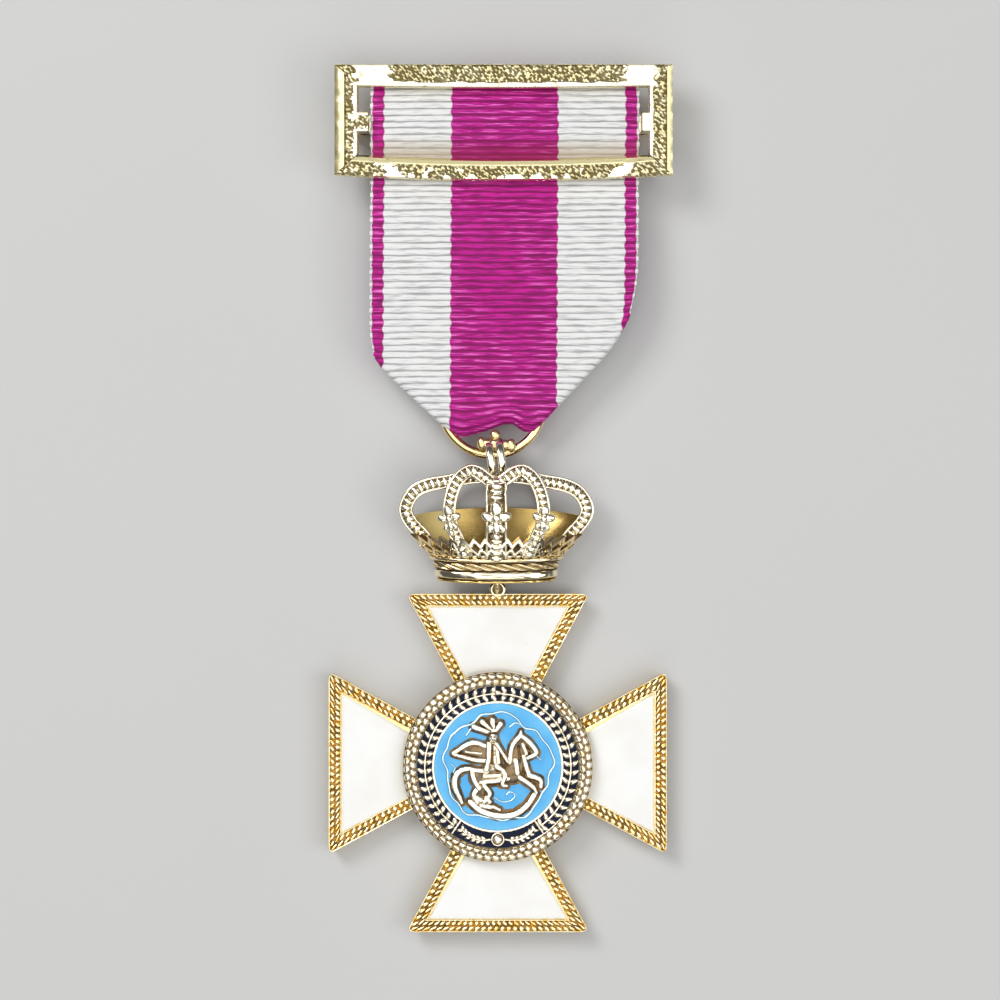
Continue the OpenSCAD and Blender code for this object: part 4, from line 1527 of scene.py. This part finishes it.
def band_strip(height, out, thick, tall, relief, repeats):
    """A moulding round the band, chased with a pattern."""
    rows = repeats * 12 if relief else 160
    turn = oval_turns(rows)
    path = oval(turn, crown_share(height), np.full(rows, height), out)
    outwards = oval(turn, crown_share(height), np.full(rows, height), out + 1) - path
    angle = np.linspace(-np.pi / 2, np.pi / 2, 17)
    v = np.sin(angle)[None]
    u = (np.arange(rows) / rows * repeats)[:, None]
    pattern = relief(u, v) if relief else np.ones((rows, 1)) * np.sqrt(np.clip(1 - v**4, 0, 1))
    swell = thick * pattern + 0.05 * uneven(turn[:, None] * 5, v, 0.6, 71)
    section = np.stack([swell, tall / 2 * np.broadcast_to(v, pattern.shape)], -1)
    back = np.broadcast_to([[(-0.3, tall / 2), (-0.3, -tall / 2)]], (rows, 2, 2))
    section = np.concatenate([section, back], 1)
    level = np.sqrt(np.clip(1 - v * v, 0, 1)) + 0.1
    groove = np.maximum(np.clip(1 - pattern / level, 0, 1), ease(0.72, 0.95, np.abs(v)))
    hollow = np.concatenate([groove, np.ones((rows, 2))], 1)
    return swept(path, section, outwards, closed=True, marks=hollow)


def crown_band():
    """The band: a broad lower rim, a slanting rope and a narrow upper rim, inside a plain wall."""
    rows = 160
    turn = oval_turns(rows)[:, None]
    height = np.array([0.25, 0.25, 1.4, band_height, band_height, 1.4])[None]
    depth = np.array([wall_inner, -0.15, -0.15, -0.15, wall_inner, wall_inner])[None]
    # The band's wall and the floor inside the crown are painted dark, as shade
    wall = grid(oval(turn, crown_share(height), height, depth), True, True, np.full((rows, 6), 0.9))
    level = np.full(rows, 1.9)
    floor = [oval(turn[:, 0], share, level) for share in (0.002, 0.53)]
    floor = marked(grid(np.stack(floor, 1), True), 0.5, 0.8)

    strips = [marked(band_strip(*values), hollow, golden) for *values, hollow, golden in mouldings]
    return joined(wall, floor, *strips)


def arch_path(angle, rise, inset):
    """The middle line of an arch, drawn in by an inset, and the way across it."""
    line = side_line if abs(angle) == 90 else crown_line
    line = line[np.argmax(line[:, 1] > 0.24):]
    angle = math.radians(angle)
    plan = np.array([math.sin(angle), -crown_flat * math.cos(angle)]) * crown_width / 2
    depth = np.interp(line[:, 0], [0.5, 0.75, 1.0], [0.62, 0.8, 1.0])
    path = np.column_stack([line[:, 0] * plan[0], depth * plan[1], line[:, 1] * crown_height * rise])
    plan = unit(plan)
    across = np.array([-plan[1], plan[0], 0.0])
    _, _, outwards = directions(path, across)
    return path - outwards * inset, across


def arch_frame(path, across, forwards):
    """The way ahead and sideways along an arch, and the way its face is turned, more or less forwards."""
    ahead, _, outwards = directions(path, across)
    facing = outwards + forwards * np.array([0, -1, math.tan(crown_tilt)])
    facing = unit(facing - ahead * (ahead * facing).sum(1, keepdims=True))
    return ahead, np.cross(ahead, facing), facing


def arch_shape(angle, rise, width, floret):
    """An arch: a notched strap between two lips, pearls along it, and perhaps a floret on its foot."""
    behind = abs(angle) > 100
    path, across = arch_path(angle, rise, width / 2 if abs(angle) == 90 else 0.45)
    pearls = evenly(path, pearl_pitch)
    steps = 2 if behind else 4
    strap = evenly(path, pearl_pitch / steps)
    strap = strap[: (len(pearls) - 1) * steps + 1]
    forwards = 0 if behind else 5
    _, side, facing = arch_frame(strap, across, forwards)
    section = box_section(width, back_arch_thick if behind else arch_thick, 0.15)
    notch = 1 - 0.1 * (1 - np.abs(np.cos(np.pi * np.arange(len(strap)) / steps)) ** 0.6)
    sections = section[None] * np.stack([notch, np.ones(len(strap))], -1)[:, None]
    # The strap is painted dark, as shade between its pearls and lips
    body = swept(strap, sections, side, marks=np.full(sections.shape[:2], 0.95))
    body.marks[:, 1] = 0.4
    if behind:
        return body
    shapes = [body]
    _, pearl_side, pearl_facing = arch_frame(pearls, across, forwards)
    pearl = (min(width / 2 - 0.15, 0.7), pearl_pitch * 0.53, 0.28)
    shapes.append(beads(pearls + pearl_facing * (arch_thick / 2), pearl, pearl_side, pearl_facing))
    for way in (-1, 1):
        lip = strap + facing * (arch_thick / 2 - 0.04) + way * side * (width / 2 - 0.1)
        shapes.append(swept(lip, box_section(lip_thick, lip_thick, 0.12, 2), side))
    if floret:
        shapes.append(floret_shape(path, across, floret))
    return joined(*shapes)


def floret_shape(path, across, size):
    """A leaf of three lobes on an arch's foot, with a bead below it."""
    ahead, side, facing = arch_frame(path, across, 5)
    i = int(np.argmax(path[:, 2] > 7.5))
    middle = path[i] + facing[i] * (arch_thick / 2 + 0.2)
    a, s, o = ahead[i] * size, side[i] * size, facing[i] * size
    lobes = [(a * 0.85, a, (0.85, 0.58, 0.4))]
    lobes += [(m * 0.75 + a * 0.15, a * 0.35 + m, (0.68, 0.48, 0.36)) for m in (s, -s)]
    lobes.append((-a * 0.85, a, (0.75, 0.4, 0.34)))
    lobes += [(m * 0.52 - a * 0.9, a - m * 0.7, (0.5, 0.34, 0.3)) for m in (s, -s)]
    lobes.append((a * 0.05 + o * 0.25, a, (0.42, 0.42, 0.34)))
    lobes.append((-a * 1.7, a, (0.36, 0.36, 0.3)))
    return joined(*[beads([middle + away], np.array(radii) * size, way, o) for away, way, radii in lobes])


def crown_finial():
    """The loop that the ring runs through, as two strips side by side, with a beaded cross on it."""
    centre = np.array([crown_x, 4.3, 3.8])
    radius = 1.58
    long_way = 1.32
    slant = 0.16
    shapes = []
    facing = unit(np.array([1.0, slant, 0]))
    turn = np.linspace(0, 2 * np.pi, 56, endpoint=False)
    outwards = np.stack([-slant * np.cos(turn), np.cos(turn), np.sin(turn)], 1)
    for side in (-1, 1):
        path = centre + np.array([side * 0.57, side * 0.12, 0]) + radius * outwards * (1, long_way, 1)
        shapes.append(swept(path, box_section(0.92, 0.85, 0.26), facing, closed=True))
    top = np.array([crown_x, 6.2, 4.2])
    arms = [
        beads([top], (0.95, 0.75, 0.7)),
        beads([top + (-0.95, 0.05, 0), top + (0.95, -0.05, 0)], (0.8, 0.62, 0.5)),
        beads([top + (-1.65, 0.1, 0), top + (1.65, -0.1, 0)], (0.55, 0.78, 0.5)),
        beads([top + (-0.15, 1.05, 0)], (0.62, 0.6, 0.48)),
    ]
    shapes.append(marked(joined(*arms), 0.45, 0.5))
    shapes.append(beads([(crown_x, 2.3, 4.9)], (1.5, 0.6, 0.7)))
    return joined(*shapes)


def crown_shape():
    """The whole crown, soldered into one piece."""
    standing = [crown_wall(), crown_band()]
    standing += [arch_shape(*arch) for arch in arches]
    standing.append(beads([(0, -1.4, 11.5)], (1.5, 0.6, 1.6), (1, 0, 0), (0, -1, 0)))
    staple = wire_ring((0, 0, 0), eyelet_radius, eyelet_wire / 2, 40, 12)
    standing.append(moved(staple, lambda points: points[:, [0, 2, 1]] + (0, 0, 1)))
    return joined(moved(joined(*standing), laid_back), crown_finial())


# Pieces

def new_object(name, data):
    """An object in the scene."""
    thing = bpy.data.objects.new(name, data)
    bpy.context.scene.collection.objects.link(thing)
    return thing


def add_piece(name, shape, material, node, crease):
    """A piece that rides on the body and stands for a node, if one is named. Steeper creases stay sharp."""
    mesh = bpy.data.meshes.new(name)
    mesh.from_pydata((shape.points * MM).tolist(), [], shape.faces)
    marks = mesh.attributes.new("marks", "FLOAT_VECTOR", "POINT")
    marks.data.foreach_set("vector", shape.marks.astype(np.float32).ravel())
    shell = bmesh.new()
    shell.from_mesh(mesh)
    bmesh.ops.recalc_face_normals(shell, faces=shell.faces)
    shell.to_mesh(mesh)
    shell.free()
    mesh.materials.append(material)
    mesh.shade_smooth()
    mesh.set_sharp_from_angle(angle=math.radians(crease))
    piece = new_object(name, mesh)
    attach(piece, "root")
    if node:
        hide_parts(node)
    return piece


plain_gilt = gilt("polished gilt", (0.93, 0.74, 0.38), (0.3, 0.15, 0.03), 0.12)
border_gilt = gilt("border gilt", (0.95, 0.85, 0.57), (0.6, 0.33, 0.04), 0.14)
rope_gilt = gilt("rope ring gilt", (0.95, 0.89, 0.73), (0.26, 0.15, 0.04), 0.14)
crown_gilt = gilt("crown gilt", (0.97, 0.91, 0.73), (0.15, 0.08, 0.014), 0.12)
relief_gilt = gilt("relief gilt", (0.95, 0.88, 0.72), (0.22, 0.12, 0.03), 0.15)
washed_gilt = gilt("washed gilt", (0.6, 0.8, 0.9), (0.3, 0.55, 0.75), 0.2)
white_enamel = enamel("white enamel", (0.93, 0.93, 0.91), (0.84, 0.82, 0.74), (0.72, 0.7, 0.63))
dark_enamel = enamel("dark blue enamel", (0.003, 0.004, 0.008), (0.005, 0.014, 0.05), (0.01, 0.01, 0.02),
                     0.02, 0.6, 0.12)
sky_enamel = enamel("sky enamel", (0.07, 0.42, 0.84), (0.17, 0.58, 0.92), (0.05, 0.25, 0.5), 0.03, 0.5, 0.3)

add_piece("brooch_bar", bar_shape(), bar_gilt(), "bar_frame", 35)
add_piece("pin_and_catch", pin_shape(), plain_gilt, "brooch_pin", 35)

cloth, cloth_length = ribbon_shape()
silk = add_piece("silk_ribbon", cloth, ribbed_silk(), "ribbon", 180)
cloth_length * MM

add_piece("hanging_ring", ring_shape(), plain_gilt, "suspension_ring", 180)
add_piece("royal_crown", crown_shape(), crown_gilt, "crown", 45)
link_centre = (link_low + link_high) / 2
link_wire = 0.45
link_radius = (link_high[1] - link_low[1]) / 2 - link_wire / 2
link = standing_ring(link_centre, link_radius, link_wire, (1, 0, 0))
add_piece("small_link", link, plain_gilt, "link_ring", 180)
add_piece("cross_with_borders", cross_shape(), border_gilt, "cross_body", 40)
for turns, side in enumerate(("top", "left", "bottom", "right")):
    add_piece("white_field_" + side, arm_enamel(turns), white_enamel, "enamel_" + side, 60)
add_piece("medallion_and_rope", medallion_shape(), rope_gilt, "medallion", 40)
add_piece("dark_band", enamel_ring(band_inner, band_outer, enamel_floor, enamel_z), dark_enamel,
          "band_enamel", 60)
add_piece("sky_field", enamel_disc(sky_radius, enamel_floor, enamel_z), sky_enamel,
          "sky_enamel", 60)
add_piece("sky_lines", sky_lines(), washed_gilt, None, 180)
add_piece("rider", rider_shape(), relief_gilt, "rider_relief", 80)
add_piece("band_ornament", band_ornament(), relief_gilt, "band_leaves", 60)


# The studio: a pale floor, soft lamps above it and the camera, looking down

def add_floor():
    """A plain pale floor."""
    finish = Finish("pale floor")
    cloud = finish.noise(finish.place(), 0.02, 3)
    finish.set(Base_Color=finish.mix(cloud * 0.3, (0.62, 0.62, 0.61), (0.56, 0.56, 0.56)), Roughness=0.8)
    reach = 1.2
    corners = [(x * reach, y * reach, 0) for x, y in ((-1, -1), (1, -1), (1, 1), (-1, 1))]
    mesh = bpy.data.meshes.new("floor")
    mesh.from_pydata(corners, [], [(0, 1, 2, 3)])
    mesh.materials.append(finish.material)
    floor = new_object("floor", mesh)


def add_lamp(name, place, size, power):
    """A soft square lamp that faces the middle of the scene."""
    lamp = bpy.data.lights.new(name, "AREA")
    lamp.shape = "RECTANGLE"
    lamp.size, lamp.size_y = size
    lamp.energy = power
    holder = new_object(name, lamp)
    holder.location = place
    holder.rotation_mode = "QUATERNION"
    holder.rotation_quaternion = (-holder.location).to_track_quat("-Z", "Y")


# The light's colour at heights from the horizon, 0, to straight above, 1
sky_tones = (
    (0.0, (0.4, 0.4, 0.4)), (0.1, (0.34, 0.34, 0.34)), (0.24, (0.09, 0.09, 0.095)),
    (0.62, (0.1, 0.1, 0.105)), (0.8, (0.3, 0.3, 0.31)), (0.935, (1.7, 1.7, 1.7)),
)


def add_sky():
    """The room's light: bright overhead and darker towards the horizon."""
    world = bpy.data.worlds.new("studio")
    world.use_nodes = True
    tree = world.node_tree
    where = wire_of(tree, add_node(tree, "TexCoord", {}, {}), "Generated")
    height = wire_of(tree, add_node(tree, "SeparateXYZ", {}, {0: where}), 2)
    ramp = add_node(tree, "ValToRGB", {}, {0: height})
    elements = ramp.color_ramp.elements
    while len(elements) < len(sky_tones):
        elements.new(1)
    for element, (place, colour) in zip(elements, sky_tones):
        element.position = place
        element.color = (*colour, 1)
    back = tree.nodes["Background"]
    connect(tree, wire_of(tree, ramp), back.inputs["Color"])
    connect(tree, 1.0, back.inputs["Strength"])
    bpy.context.scene.world = world


def add_camera():
    """The camera, straight above the medal."""
    camera = bpy.data.cameras.new("camera")
    camera.lens = 150
    holder = new_object("camera", camera)
    holder.location = (0, 0, 0.47)
    bpy.context.scene.camera = holder


add_floor()
add_sky()
add_lamp("key", (-0.25, 0.25, 0.4), (0.22, 0.22), 1.15)
add_lamp("fill", (0.32, -0.1, 0.36), (0.3, 0.2), 0.45)
add_lamp("back", (0.02, -0.36, 0.3), (0.3, 0.16), 0.25)
add_camera()
bpy.context.scene.view_settings.view_transform = "Standard"
